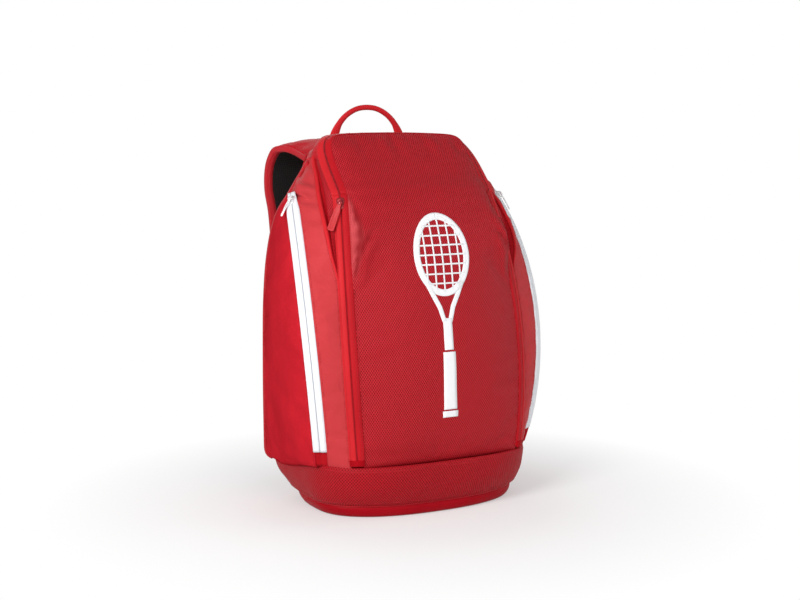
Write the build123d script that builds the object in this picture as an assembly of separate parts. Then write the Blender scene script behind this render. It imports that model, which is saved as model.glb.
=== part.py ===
from build123d import *
import os
import math
import numpy as np

# Racket backpack, free standing, empty but stuffed to its sewn shape.
# Frame: millimetres, +Z up, -Y towards the front flap, +Y towards the wearer's back, X = 0 on the
# plane of symmetry, origin on the floor under the middle of the base. "left" is -X, the wearer's
# left. Paired pieces are drawn on the left and mirrored.

os.makedirs("parts", exist_ok=True)

# ---------------------------------------------------------------- driving dimensions
SKIN = 4.0                # padded shell panel thickness (fabric, foam and lining together)
SIDE_SKIN = SKIN - 1.2    # thickness of the side panels
SHOULDER_SKIN = SKIN - 1.5
ZIP_TRIM = 1.2            # gap between a panel and the zip tape beside it
REAR_TRIM = 3.6           # gap between a side panel and the rear edge
INSIDE = (0, 30)          # plan point inside the bag, for the side panels
SHOULDER_INSIDE = (0, 60) # the same for the pieces at shoulder height

TAPE_T = 1.4              # zip tape thickness
TAPE_W = 9.0              # width of one half of the main zip tape
SIDE_TAPE_W = 8.4         # width of one half of a side pocket zip tape
HALF_GAP = 1.6 / 2        # half the slot between the two halves of a zip
RUN = 0.3                 # running clearance of a slider on its tape

# spans across a zip, measured from its middle; positive is towards the outside of the bag
OUTER_HALF = (HALF_GAP, HALF_GAP + TAPE_W)
INNER_HALF = (-HALF_GAP - TAPE_W, -HALF_GAP)
SIDE_OUTER_HALF = (HALF_GAP, HALF_GAP + SIDE_TAPE_W)
SIDE_INNER_HALF = (-HALF_GAP - SIDE_TAPE_W, -HALF_GAP)

# plan positions by height, (z, |x|, y): outer seam of the main zip, rear edge of the side
OUTER_SEAM = [(436, 121, 20), (404, 131, -10), (380, 136, -32), (356, 138, -48),
              (323, 138, -60), (288, 137.5, -68), (238, 137, -77), (183, 135.5, -84.5),
              (128, 134, -88), (69, 131, -89)]
REAR_EDGE = [(440, 122, 57), (425, 132, 57), (408, 141, 60), (380, 148, 84), (348, 151, 99),
             (298, 153, 111), (238, 154, 116), (158, 154, 118), (69, 153, 119)]


# ---------------------------------------------------------------- helpers
def smooth(table, z):
    """Columns after the first at height z, by a monotone cubic through the table's points."""
    rows = sorted(table)
    heights = np.array([row[0] for row in rows], float)
    steps = np.diff(heights)
    i = int(np.clip(np.searchsorted(heights, z) - 1, 0, len(steps) - 1))
    s = (z - heights[i]) / steps[i]
    s2, s3 = s * s, s * s * s
    out = []
    for column in range(1, len(rows[0])):
        values = np.array([row[column] for row in rows], float)
        chords = np.diff(values) / steps
        slopes = np.zeros_like(values)
        slopes[0], slopes[-1] = chords[0], chords[-1]
        for k in range(1, len(values) - 1):
            if chords[k - 1] * chords[k] > 0:
                weight1 = 2 * steps[k] + steps[k - 1]
                weight2 = steps[k] + 2 * steps[k - 1]
                slopes[k] = (weight1 + weight2) / (weight1 / chords[k - 1] + weight2 / chords[k])
        out.append(float((2 * s3 - 3 * s2 + 1) * values[i]
                         + (s3 - 2 * s2 + s) * steps[i] * slopes[i]
                         + (-2 * s3 + 3 * s2) * values[i + 1]
                         + (s3 - s2) * steps[i] * slopes[i + 1]))
    return np.array(out)


def left(table, z):
    """Plan point on the left side from a (z, |x|, y) table."""
    x, y = smooth(table, z)
    return np.array([-x, y])


def linear(table, position):
    """Columns after the first, interpolated linearly where the first column is position."""
    columns = np.array(table, float).T
    return np.array([np.interp(position, columns[0], column) for column in columns[1:]])


def unit(vector):
    vector = np.array(vector, float)
    return vector / np.linalg.norm(vector)


def catmull(points, count):
    """count points along a Catmull-Rom curve through the points, ends included."""
    p = np.array(points, float)
    p = np.vstack([2 * p[0] - p[1], p, 2 * p[-1] - p[-2]])
    out = []
    spans = len(p) - 3
    for k in range(count):
        along = k / (count - 1) * spans
        i = min(int(along), spans - 1)
        t = along - i
        a, b, c, d = p[i], p[i + 1], p[i + 2], p[i + 3]
        out.append(0.5 * ((2 * b) + (c - a) * t + (2 * a - 5 * b + 4 * c - d) * t * t
                          + (3 * b - a - 3 * c + d) * t ** 3))
    return np.array(out)


def polygon(points):
    return Wire.make_polygon([Vector(*p) for p in points], close=True)


def ruled_loft(wires):
    return Solid.make_loft(wires, True)


def strip_wire(points, z, thickness, inside):
    """Closed wire at height z: a line through the plan points and its copy offset towards inside."""
    points = np.array(points, float)
    tangents = np.gradient(points, axis=0)
    normals = np.stack([-tangents[:, 1], tangents[:, 0]], 1)
    normals /= np.linalg.norm(normals, axis=1)[:, None]
    to_inside = np.array(inside, float) - points
    normals *= np.sign((normals * to_inside).sum(1))[:, None]
    offset = points + normals * thickness
    outer = [Vector(float(x), float(y), z) for x, y in points]
    inner = [Vector(float(x), float(y), z) for x, y in offset]
    if len(outer) == 2:
        outer_edge = Edge.make_line(outer[0], outer[1])
        inner_edge = Edge.make_line(inner[1], inner[0])
    else:
        outer_edge = Edge.make_spline(outer)
        inner_edge = Edge.make_spline(inner[::-1])
    return Wire([outer_edge, Edge.make_line(outer[-1], inner[-1]),
                 inner_edge, Edge.make_line(inner[0], outer[0])])


def bow(start, end, height, count, inside):
    """count points from start to end, bowed away from inside by height in the middle."""
    start, end = np.array(start, float), np.array(end, float)
    chord = unit(end - start)
    normal = np.array([-chord[1], chord[0]])
    if normal @ (np.array(inside) - (start + end) / 2) > 0:
        normal = -normal
    return [start + (end - start) * t + normal * height * math.sin(math.pi * t)
            for t in np.linspace(0, 1, count)]


def bowed_section(z, start, end, trims, height, count, thickness=SIDE_SKIN, inside=INSIDE):
    """Section of a bowed panel that stops short of start and end by the two trims."""
    chord = unit(end - start)
    points = bow(start + chord * trims[0], end - chord * trims[1], height, count, inside)
    return strip_wire(points, z, thickness, inside)


def tube(points, radius):
    path = Edge.make_spline([Vector(*p) for p in points])
    plane = Plane(origin=path.position_at(0), z_dir=path.tangent_at(0))
    return sweep(Face(Wire.make_circle(radius, plane)), path=path)


def mirror_x(shape):
    return shape.mirror(Plane.YZ)


def save(shape, name):
    shapes = shape if isinstance(shape, (list, tuple)) else [shape]
    solids = [solid for item in shapes for solid in item.solids()]
    whole = solids[0] if len(solids) == 1 else Compound(children=solids)
    export_step(whole, f"parts/{name}.step")


def save_pair(shape, name):
    """Save a left piece, or list of solids, and its mirror image."""
    shapes = shape if isinstance(shape, list) else [shape]
    save(shapes, f"{name}_left")
    save([mirror_x(item) for item in shapes], f"{name}_right")


class ZipArc:
    """A left zip run along a circular arc through three points.

    Tape sections are (across, out) points round the arc, turned by the tilt so that they fall
    back towards the outside of the bag.
    """

    def __init__(self, start, middle, end, tilt_deg):
        start, middle, end = (np.array(p, float) for p in (start, middle, end))
        to_middle, to_end = middle - start, end - start
        normal = np.cross(to_middle, to_end)
        self.centre = start + (np.cross(normal, to_middle) * (to_end @ to_end)
                               + np.cross(to_end, normal) * (to_middle @ to_middle)
                               ) / (2 * (normal @ normal))
        self.radius = float(np.linalg.norm(start - self.centre))
        self.radial = unit(middle - self.centre)
        normal = unit(normal)
        if normal[0] > 0:
            normal = -normal                             # axis towards the outside (-X)
        self.axis = normal
        self.tangent = np.cross(self.axis, self.radial)  # positive phi turns about the axis
        self.tilt = math.radians(tilt_deg)
        self.phi_start = self.angle(start)
        self.phi_end = self.angle(end)

    def angle(self, point):
        arm = np.array(point, float) - self.centre
        return math.atan2(arm @ self.tangent, arm @ self.radial)

    def phi_at(self, share):
        """Angle at a share of the way from start to end."""
        return self.phi_start + (self.phi_end - self.phi_start) * share

    def at(self, phi, across, out):
        """Point in space of a section point, phi measured from the middle of the arc."""
        c, s = math.cos(self.tilt), math.sin(self.tilt)
        radius = self.radius + out * c - across * s
        offset = across * c + out * s
        return (self.centre + self.axis * offset
                + radius * (math.cos(phi) * self.radial + math.sin(phi) * self.tangent))

    def sweep(self, profile, phi_a, phi_b):
        """Solid of the (across, out) profile turned from phi_a to phi_b."""
        face = Face(polygon([self.at(phi_a, across, out) for across, out in profile]))
        degrees = math.degrees(phi_b - phi_a)
        direction = -self.axis if degrees < 0 else self.axis
        axis = Axis(origin=Vector(*self.centre), direction=Vector(*direction))
        return Solid.revolve(face, abs(degrees), axis)

    def tape(self, span):
        """Tape half over the (from, to) span across the zip."""
        a, b = span
        profile = [(a, -TAPE_T), (b, -TAPE_T), (b, 0), (a, 0)]
        return self.sweep(profile, self.phi_start, self.phi_end)

    def line(self, across, margin, count=600):
        """(z, x, y) rows, by height, of the line at an offset across the tape.

        The line runs past both ends of the arc by margin, in radians.
        """
        low = min(self.phi_start, self.phi_end) - margin
        high = max(self.phi_start, self.phi_end) + margin
        points = [self.at(low + (high - low) * k / (count - 1), across, 0.0)
                  for k in range(count)]
        points.sort(key=lambda p: p[2])
        return np.array([(p[2], p[0], p[1]) for p in points])


class LocalFrame:
    """Axes of a small fitting: across it, along it and out of the surface it lies on."""

    def __init__(self, origin, across, along, out):
        self.origin, self.across, self.along, self.out = origin, across, along, out

    def point(self, across, along, out):
        point = self.origin + self.across * across + self.along * along + self.out * out
        return Vector(*point)

    def box(self, across, along, out):
        """Box over three (from, to) ranges."""
        plane = Plane(origin=self.point(across[0], along[0], out[0]),
                      x_dir=Vector(*self.across), z_dir=Vector(*self.out))
        same_way = plane.y_dir.dot(Vector(*self.along)) > 0
        return plane * Box(across[1] - across[0], along[1] - along[0], out[1] - out[0],
                           align=(Align.MIN, Align.MIN if same_way else Align.MAX, Align.MIN))

    def rod(self, radius, half_length, out):
        """Rod lying across the frame at height out."""
        plane = Plane(origin=self.point(-half_length, 0.0, out), z_dir=Vector(*self.across))
        return plane * Cylinder(radius, 2 * half_length,
                                align=(Align.CENTER, Align.CENTER, Align.MIN))


# the left side run of the main zip, and the left pocket zip, both from top to bottom
MAIN = ZipArc((-112.0, -31.0, 408.0), (-127.0, -79.5, 255.0), (-121.0, -94.0, 72.0), 6.0)
SIDE = ZipArc((-155.0, 26.0, 411.0), (-172.0, -57.0, 250.0), (-157.0, -60.5, 88.0), 16.5)

# far edges of the tapes, which the panels meet
MAIN_INNER = MAIN.line(INNER_HALF[0], 0.02)
MAIN_OUTER = MAIN.line(OUTER_HALF[1], 0.02)
SIDE_INNER = SIDE.line(SIDE_INNER_HALF[0], 0.14)
SIDE_OUTER = SIDE.line(SIDE_OUTER_HALF[1], 0.14)

# ---------------------------------------------------------------- base
BASE_H = 15.0         # height of the smooth rim round the base
CUFF_TOP = 68.0       # top of the base cuff
CUFF_GAP = 0.6        # the cuff stops this far inside its two heights

# outline by height: z, centre y, half width, front depth, rear depth, then the superellipse
# exponents of the front and rear halves
BASE_LOOPS = [(0, -14, 139, 83, 92, 2.35, 3.3), (15, -13, 144.5, 86, 99, 2.4, 3.7),
              (21, -10.8, 149, 91, 105, 2.55, 4.4), (40, -4, 152, 104, 110.5, 2.9, 5.2),
              (70, 5, 155, 119, 114.5, 3.2, 6.5)]

# z, inset of the outer face, inset of the inner face; negative stands outside the outline
RIM = [(0.0, 2.5, 7.0), (3.0, 0.0, 7.0), (8.0, -1.5, 7.0), (12.0, -1.2, 7.0), (BASE_H, 0.0, 7.0)]
CUFF = [(BASE_H + CUFF_GAP, 0.5, 4.5), (21.0, -1.2, 2.8), (30.0, -2.2, 1.8),
        (42.0, -3.0, 1.0), (56.0, -2.5, 1.5), (CUFF_TOP - CUFF_GAP, 0.5, 4.5)]


def base_wire(z, inset, count=44):
    centre_y, half_width, front, rear, front_power, rear_power = linear(BASE_LOOPS, z)
    points = []
    for k in range(count):
        angle = 2 * math.pi * k / count
        c, s = math.cos(angle), math.sin(angle)
        power = front_power if s < 0 else rear_power
        depth = (front if s < 0 else rear) - inset
        x = math.copysign(abs(c) ** (2 / power), c) * (half_width - inset)
        y = centre_y + math.copysign(abs(s) ** (2 / power), s) * depth
        points.append(Vector(x, y, z))
    return Wire([Edge.make_spline(points, periodic=True)])


def base_ring(stations):
    outer = ruled_loft([base_wire(z, outer_inset) for z, outer_inset, _ in stations])
    inner = ruled_loft([base_wire(z, inner_inset) for z, _, inner_inset in stations])
    return outer - inner


# the bottom cover is the flat face the bag stands on
save(extrude(Face(base_wire(0.0, 7.5)), amount=2.5), "base_bottom_cover")
save(base_ring(RIM), "base_rim")
board_face = Face(base_wire(0.0, 12.0)).translate(Vector(0, 0, 3.0))
save(extrude(board_face, amount=4.0), "base_board")
save(base_ring(CUFF), "base_cuff")


# ---------------------------------------------------------------- side panels
def side_front_section(z):
    """Between the main zip and the pocket zip."""
    start, end = linear(MAIN_OUTER, z), linear(SIDE_INNER, z)
    height = min(3.0, 0.1 * np.linalg.norm(end - start))
    return bowed_section(z, start, end, (ZIP_TRIM, ZIP_TRIM), height, 5)


def side_rear_section(z):
    """Between the pocket zip and the rear edge."""
    start, end = linear(SIDE_OUTER, z), left(REAR_EDGE, z)
    height = min(7.0, 0.07 * np.linalg.norm(end - start))
    return bowed_section(z, start, end, (2.0, REAR_TRIM), height, 7)


def side_low_section(z):
    """Below the end of the pocket zip."""
    start = linear(SIDE_INNER, max(z, 80.0)) + np.array([1.5, 0.0])
    return bowed_section(z, start, left(REAR_EDGE, z), (ZIP_TRIM, REAR_TRIM), 5.0, 7)


def shoulder_section(z):
    """Above the pocket zip."""
    return bowed_section(z, left(OUTER_SEAM, z), left(REAR_EDGE, z), (2.5, REAR_TRIM), 2.5, 5,
                         SHOULDER_SKIN, SHOULDER_INSIDE)


def liner_section(z):
    """Flat sheet inside the side panels."""
    front = left(OUTER_SEAM, z) + np.array([14.0, 24.0])
    rear = left(REAR_EDGE, z) + np.array([22.0, -16.0])
    return strip_wire([front, rear], z, 1.2, INSIDE)


# piece, its section, heights of the sections
SIDE_PIECES = [
    ("side_front_panel", side_front_section,
     (74, 95, 120, 150, 180, 215, 250, 285, 320, 350, 375, 392, 403)),
    ("side_rear_panel", side_rear_section,
     (92, 120, 150, 180, 215, 250, 285, 320, 350, 375, 390, 401)),
    ("side_low_panel", side_low_section, (70.5, 78, 84.5)),
    ("side_pocket_liner", liner_section, (76, 160, 240, 310, 370)),
    ("shoulder_panel", shoulder_section, (413.5, 421, 428, 434)),
]
for name, section, heights in SIDE_PIECES:
    save_pair(ruled_loft([section(z) for z in heights]), name)

save_pair([SIDE.tape(SIDE_OUTER_HALF), SIDE.tape(SIDE_INNER_HALF)], "side_zip_tape")

# ---------------------------------------------------------------- main zip tapes
# run over the shoulder to the middle of the top: x, y, z of the zip line, then the direction
# across it from flap to shell
ZIP_UPPER = [(-111.8, -30.0, 410.0, -0.88, 0.47, -0.05),
             (-111.6, -11.0, 430.0, -0.88, 0.45, -0.12),
             (-111.0, 6.5, 449.0, -0.86, 0.47, -0.16),
             (-108.5, 21.0, 465.5, -0.76, 0.63, -0.16),
             (-101.0, 31.5, 478.5, -0.48, 0.86, -0.08),
             (-86.0, 36.5, 484.2, -0.16, 0.98, 0.0),
             (-44.0, 38.0, 486.3, 0.0, 1.0, 0.0),
             (0.0, 38.5, 487.0, 0.0, 1.0, 0.0)]
ZIP_OVER_TOP = ZIP_UPPER + [(-x, y, z, -across_x, across_y, across_z)
                            for x, y, z, across_x, across_y, across_z in ZIP_UPPER[-2::-1]]


def top_tape(span, count=29):
    """Tape half over the top, covering span across the zip, its thickness on the outer side."""
    rows = catmull(ZIP_OVER_TOP, count)
    points = rows[:, :3]
    wires = []
    for point, across, tangent in zip(points, rows[:, 3:], np.gradient(points, axis=0)):
        tangent = unit(tangent)
        across = unit(across - (across @ tangent) * tangent)
        inward = np.cross(across, tangent)
        near, far = point + across * span[0], point + across * span[1]
        wires.append(polygon([near, far, far - inward * TAPE_T, near - inward * TAPE_T]))
    return ruled_loft(wires)


for name, span in (("shell", OUTER_HALF), ("flap", INNER_HALF)):
    side_run = MAIN.tape(span)
    save([side_run, mirror_x(side_run), top_tape(span)], f"main_zip_tape_{name}")

# ---------------------------------------------------------------- front flap
# z, how far the middle of the flap stands forward of its edges
FLAP_BULGE = [(69, 12), (120, 17), (200, 20), (280, 24), (330, 30), (370, 30), (415, 20),
              (450, 11), (478, 5)]
FLAP_Z = (71, 90, 120, 160, 200, 240, 280, 310, 335, 355, 375, 395, 412, 425, 437, 448, 458,
          466, 472, 477)
LINING_Z = (84, 140, 200, 260, 310, 345, 375, 400)

# flap edge of the upper tape, (z, x, y), up to where it levels out
UPPER_EDGE = [row[:3] - unit(row[3:]) * OUTER_HALF[1] for row in catmull(ZIP_UPPER, 80)]
UPPER_INNER = np.array([(z, x, y) for x, y, z in UPPER_EDGE if z < 484.5])


def flap_section(z, inset=0.0, thickness=SKIN, setback=0.0):
    if z < 406:
        edge = linear(MAIN_INNER, z)
    else:
        edge = linear(UPPER_INNER, z) + np.array([0.5, 0.0])
    half_width, edge_y = -edge[0] - ZIP_TRIM - inset, edge[1]
    bulge = linear(FLAP_BULGE, z)[0]
    shoulder = 0.7 if 310 < z < 420 else 0.5
    # share of the half width, share of the bulge
    shape = [(-1, 0), (-0.87, shoulder), (-0.55, 0.92), (0, 1),
             (0.55, 0.92), (0.87, shoulder), (1, 0)]
    points = [(half_width * across, edge_y - bulge * forward + setback)
              for across, forward in shape]
    return strip_wire(points, z, thickness, (0, 400))


save(ruled_loft([flap_section(z) for z in FLAP_Z]), "front_panel")
save(ruled_loft([flap_section(z, inset=10.0, thickness=3.0, setback=SKIN + 3.5)
                 for z in LINING_Z]), "front_panel_lining")

# ---------------------------------------------------------------- zip gussets
# between the zip and the shoulder panel: z, front x and y, rear x and y
GUSSET = [(408, -124.0, -22, -129.0, -9), (418, -123.0, -12, -127.0, 2),
          (432, -121.8, 1, -123.5, 17), (446, -120.2, 14, -120.0, 32),
          (456, -118.0, 23.5, -116.0, 41)]


def gusset_section(z, front_x, front_y, rear_x, rear_y):
    front, rear = np.array([front_x, front_y], float), np.array([rear_x, rear_y], float)
    middle = (rear + front) / 2 + np.array([-0.6, 0])
    return strip_wire([front, middle, rear], z, 1.6, SHOULDER_INSIDE)


save_pair(ruled_loft([gusset_section(*row) for row in GUSSET]), "zip_gusset")

# ---------------------------------------------------------------- back panel and frame sheet
# (z, |x|, y) of the bend towards each side, (z, y) on the centre line
BACK_BEND = [(69, 100, 119.5), (158, 100, 119.5), (238, 100, 119), (298, 102, 118.5),
             (348, 104, 116.5), (380, 100, 114), (408, 94, 110), (436, 82, 104),
             (452, 70, 102), (464, 64, 101)]
BACK_CENTRE = [(69, 120), (298, 120), (348, 119.5), (380, 119), (408, 117.5), (436, 115.5),
               (464, 113.5)]
BACK_TOP_EDGE = [(436, -124, 58), (452, -110, 68), (464, -97, 79)]   # (z, x, y) above REAR_EDGE
BACK_Z = (70, 120, 180, 240, 298, 325, 348, 365, 380, 395, 408, 422, 436, 450, 464)


def back_section(z, shift_y=0.0, thickness=SKIN, trim=0.0):
    edge = left(REAR_EDGE, z) if z < 440 else linear(BACK_TOP_EDGE, z)
    bend = left(BACK_BEND, z)
    centre = np.array([0.0, smooth(BACK_CENTRE, z)[0]])
    start = edge + unit(bend - edge) * (6.0 + trim)
    half = [start, start + (bend - start) * 0.5, bend, (bend + centre) / 2 + np.array([0.0, 0.6])]
    points = half + [centre] + [(-x, y) for x, y in half[::-1]]
    return strip_wire([(x, y + shift_y) for x, y in points], z, thickness, (0, -400))


save(ruled_loft([back_section(z) for z in BACK_Z]), "back_panel")
save(ruled_loft([back_section(z, shift_y=-6.0, thickness=1.5, trim=26.0)
                 for z in (120, 200, 298, 348)]), "back_frame_sheet")

# ---------------------------------------------------------------- top panel
# (|x|, y, z) of the front and rear edges of the upper face
TOP_FRONT = [(0, 50.2, 486.6), (44, 49.8, 485.9), (74, 49.0, 484.6), (86, 48.4, 483.6),
             (96, 46.5, 480.6)]
TOP_REAR = [(0, 104.0, 474.0), (40, 102.0, 473.5), (64, 94.5, 472.0), (80, 83.0, 469.5),
            (96, 68.0, 465.0)]
TOP_T = 3.0
TOP_CROWN = 2.5       # rise of the middle above the chord between the edges


def top_section(x):
    front_y, front_z = linear(TOP_FRONT, abs(x))
    rear_y, rear_z = linear(TOP_REAR, abs(x))
    middle_y, middle_z = (front_y + rear_y) / 2, (front_z + rear_z) / 2 + TOP_CROWN
    return polygon([(x, front_y, front_z), (x, middle_y, middle_z), (x, rear_y, rear_z),
                    (x, rear_y, rear_z - TOP_T), (x, middle_y, middle_z - TOP_T),
                    (x, front_y, front_z - TOP_T)])


TOP_X = (-96, -88, -74, -64, -40, 0, 40, 64, 74, 88, 96)
save(ruled_loft([top_section(x) for x in TOP_X]), "top_panel")

# ---------------------------------------------------------------- rear seam binding
BINDING_Z = (76, 120, 180, 240, 300, 340, 370, 392, 408, 420, 432)
save_pair(tube([(*left(REAR_EDGE, z), z) for z in BINDING_Z], 2.0), "rear_binding")

# ---------------------------------------------------------------- back padding and divider
PAD_Y = 121.6         # face of the pads towards the bag
PAD_CORNER = 22


def pad(x0, x1, z0, z1, depth_to):
    """Rounded pad from PAD_Y to depth_to, its rear rim softened."""
    depth = depth_to - PAD_Y
    block = Box(x1 - x0, depth, z1 - z0, align=(Align.MIN, Align.MIN, Align.MIN))
    block = block.translate(Vector(x0, PAD_Y, z0))
    block = fillet(block.edges().filter_by(Axis.Y), PAD_CORNER)
    return fillet(block.faces().sort_by(Axis.Y)[-1].edges(), depth * 0.42)


save_pair(pad(-92, -14, 150, 372, 132.0), "back_pad")
save(pad(-92, 92, 78, 138, 133.5), "lumbar_pad")

divider = Box(232, 5, 320, align=(Align.CENTER, Align.MIN, Align.MIN))
divider = divider.translate(Vector(0, 72, 76))
save(fillet(divider.edges().filter_by(Axis.Y), 30), "racket_divider")

# ---------------------------------------------------------------- carry handle
HANDLE_Y = 108.4
HANDLE_HALF = 50.0    # half the distance between the tabs
HANDLE_R = 3.8
HANDLE_END_Z = 480.5  # height of the handle's two ends

tab = Box(15, 4.0, 11.0, align=(Align.CENTER, Align.CENTER, Align.MAX))
tab = tab.translate(Vector(-HANDLE_HALF, HANDLE_Y, HANDLE_END_Z - HANDLE_R))
tab = fillet(tab.edges().filter_by(Axis.Z), 1.5)
save([tab, mirror_x(tab)], "handle_tab")

# (x, z) from the left end to just short of the middle
HANDLE_LEFT = [(-HANDLE_HALF - 1, HANDLE_END_Z), (-49, 489), (-42, 502), (-31, 513), (-16, 520.8)]
handle_line = HANDLE_LEFT + [(0, 523)] + [(-x, z) for x, z in HANDLE_LEFT[::-1]]
save(tube([(x, HANDLE_Y, z) for x, z in handle_line], HANDLE_R), "carry_handle")

# ---------------------------------------------------------------- strap yoke
# band across the top of the back: |x|, y of the top edge, z of the top edge, z of the bottom edge
YOKE = [(0, 117.0, 463.0, 444.0), (45, 113.5, 463.0, 441.0), (70, 107.0, 461.0, 435.0),
        (90, 97.5, 455.0, 433.0), (104, 86.0, 449.0, 436.0)]
YOKE_T = 4.0


def yoke_section(x, y, top_z, bottom_z):
    bottom_y = y + 0.20 * (top_z - bottom_z) + 0.4
    return polygon([(x, y, top_z), (x, bottom_y, bottom_z),
                    (x, bottom_y + YOKE_T, bottom_z), (x, y + YOKE_T, top_z)])


yoke_rows = [(-x, *rest) for x, *rest in YOKE[:0:-1]] + YOKE
save(ruled_loft([yoke_section(*row) for row in yoke_rows]), "strap_yoke")

# ---------------------------------------------------------------- shoulder straps
# x, y, z of the strap line, half width, degrees the outer edge drops below the inner one
STRAP = [(-77, 124.0, 466.5, 27, 15), (-78, 138.0, 471.5, 31, 15), (-80, 153.0, 471.5, 32.5, 15),
         (-83, 169.0, 463.0, 33, 13), (-86, 180.0, 441.0, 33, 10), (-88, 178.0, 412.0, 33, 6),
         (-91, 161.0, 376.0, 32, 3), (-96, 148.0, 315.0, 29, 0), (-103, 143.0, 250.0, 24, 0),
         (-107, 141.5, 206.0, 17, 0)]
STRAP_BEVEL_W = 4     # width of the bevel along each edge


def strap_solid(low, high, shrink, count=30):
    """Layer from low to high off the strap line, each edge drawn in by shrink."""
    rows = catmull(STRAP, count)
    points = rows[:, :3]
    bevel = (high - low) * 0.3
    wires = []
    for point, tangent, (half, roll) in zip(points, np.gradient(points, axis=0), rows[:, 3:]):
        tangent = unit(tangent)
        across = np.array([np.cos(np.radians(roll)), 0, np.sin(np.radians(roll))])
        across = unit(across - (across @ tangent) * tangent)
        out = np.cross(across, tangent)
        half = half - shrink
        flat = half - STRAP_BEVEL_W
        corners = [(-half, low + bevel), (-flat, low), (flat, low), (half, low + bevel),
                   (half, high - bevel), (flat, high), (-flat, high), (-half, high - bevel)]
        wires.append(polygon([point + across * a + out * b for a, b in corners]))
    return ruled_loft(wires)


save_pair(strap_solid(0.2, 8.0, 0.0), "shoulder_strap")
save_pair(strap_solid(-2.2, -0.1, 3.0), "strap_mesh")

# ---------------------------------------------------------------- ladder lock and webbing
WEB_W = 25.0
WEB_T = 1.8
LOCK_H = (-5.6, 3.2)      # depth range of the lock's rails
RAIL_IN, RAIL_OUT = 13.1, 17
# cross bars: range down the webbing, range away from the back
LOCK_BARS = [((-11, -7.5), (LOCK_H[0], -3.4)), ((-2.0, 2.0), (1.2, LOCK_H[1])),
             ((7.5, 11), (-3.2, -1.2))]

# frame of the lock: along is down the webbing, out is away from the back
web_dir = unit([-30.0, -20.0, -103.0])
web_across = unit(np.cross(web_dir, np.array([0, 1.0, 0])))
lock_frame = LocalFrame(np.array([-110.5, 146.0, 178.0]), web_across, web_dir,
                        np.cross(web_across, web_dir))

lock = (lock_frame.box((-RAIL_OUT, -RAIL_IN), (-11, 11), LOCK_H)
        + lock_frame.box((RAIL_IN, RAIL_OUT), (-11, 11), LOCK_H))
for along, out in LOCK_BARS:
    lock = lock + lock_frame.box((-14, 14), along, out)
save_pair(lock, "ladder_lock")
save_pair(lock_frame.box((-12.0, 12.0), (-24.0, -6.0), (-3.1, -1.5)), "lock_keeper")
save_pair(lock_frame.box((-WEB_W / 2, WEB_W / 2), (-14.0, 104.0), (-WEB_T / 2, WEB_T / 2)),
          "strap_webbing")

# lower anchor: an upright plate that narrows upwards, its outer edge straight
ANCHOR_X = -149
ANCHOR_Y = (122.5, 125.5)
ANCHOR = [(64.0, 30.0), (76.0, 26.0)]     # z, width


def anchor_section(z, width):
    near, far = ANCHOR_Y
    return polygon([(ANCHOR_X, near, z), (ANCHOR_X + width, near, z),
                    (ANCHOR_X + width, far, z), (ANCHOR_X, far, z)])


save_pair(ruled_loft([anchor_section(*row) for row in ANCHOR]), "lower_strap_anchor")

# ---------------------------------------------------------------- zip sliders and pulls
SLIDER_TOP = 2.2      # top of the slider's upper plate above the tape
SLIDER_PLATE = 1.3    # thickness of the lower plate
WEDGE = 0.5           # half width of the web joining the plates through the slot
PIVOT_OUT = 4.6       # height of the pull's pivot above the tape
BRIDGE_HALF = 3.6     # half width over the bridge posts
POST_T = 1.1
EYE_HALF = 2.2        # half width of the pull's eye and neck


def slider_body(arc, phi, half_length, half_width, one_sided):
    """Upper and lower plates; one-sided, the lower plate lies under the inner half only."""
    under = -TAPE_T - RUN
    bottom = under - SLIDER_PLATE
    profile = [(-half_width, RUN), (-half_width, SLIDER_TOP), (half_width, SLIDER_TOP),
               (half_width, RUN), (WEDGE, RUN)]
    if one_sided:
        profile += [(WEDGE, bottom)]
    else:
        profile += [(WEDGE, under), (half_width, under), (half_width, bottom)]
    profile += [(-half_width, bottom), (-half_width, under), (-WEDGE, under), (-WEDGE, RUN)]
    half_turn = half_length / arc.radius
    return arc.sweep(profile, phi - half_turn, phi + half_turn)


def slider_frame(arc, phi, swivel_deg):
    """Frame on the tape at phi, along pointing down the zip and turned by the swivel."""
    origin = arc.at(phi, 0.0, 0.0)
    across = unit(arc.at(phi, 1.0, 0.0) - origin)
    out = unit(arc.at(phi, 0.0, 1.0) - origin)
    along = np.cross(across, out)
    if along[2] > 0:
        along = -along
    s, c = math.sin(math.radians(swivel_deg)), math.cos(math.radians(swivel_deg))
    return LocalFrame(origin, across * c - along * s, along * c + across * s, out)


def add_bridge(body, frame):
    """Two posts and the rod the pull hangs on."""
    post_out = (2.0, PIVOT_OUT + 1.0)
    posts = (frame.box((-BRIDGE_HALF, -BRIDGE_HALF + POST_T), (-1.6, 1.6), post_out)
             + frame.box((BRIDGE_HALF - POST_T, BRIDGE_HALF), (-1.6, 1.6), post_out))
    return body + posts + frame.rod(0.8, BRIDGE_HALF - 0.4, PIVOT_OUT)


def pull(frame, half_width, length, thickness):
    """Flat pull with an eye round the bridge rod, hanging along the frame."""
    out = (PIVOT_OUT - thickness / 2, PIVOT_OUT + thickness / 2)
    eye = frame.rod(2.0, EYE_HALF, PIVOT_OUT)
    neck = frame.box((-EYE_HALF, EYE_HALF), (0.5, 7.0), out)
    leaf = frame.box((-half_width, half_width), (6.0, length), out)
    normal = Vector(*frame.out)
    corners = leaf.edges().filter_by(lambda edge: abs(edge.tangent_at(0.5).dot(normal)) > 0.99)
    leaf = fillet(corners, min(half_width * 0.7, 3.0))
    hole = frame.rod(1.15, EYE_HALF + 1, PIVOT_OUT)
    return (eye + neck + leaf) - hole


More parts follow.
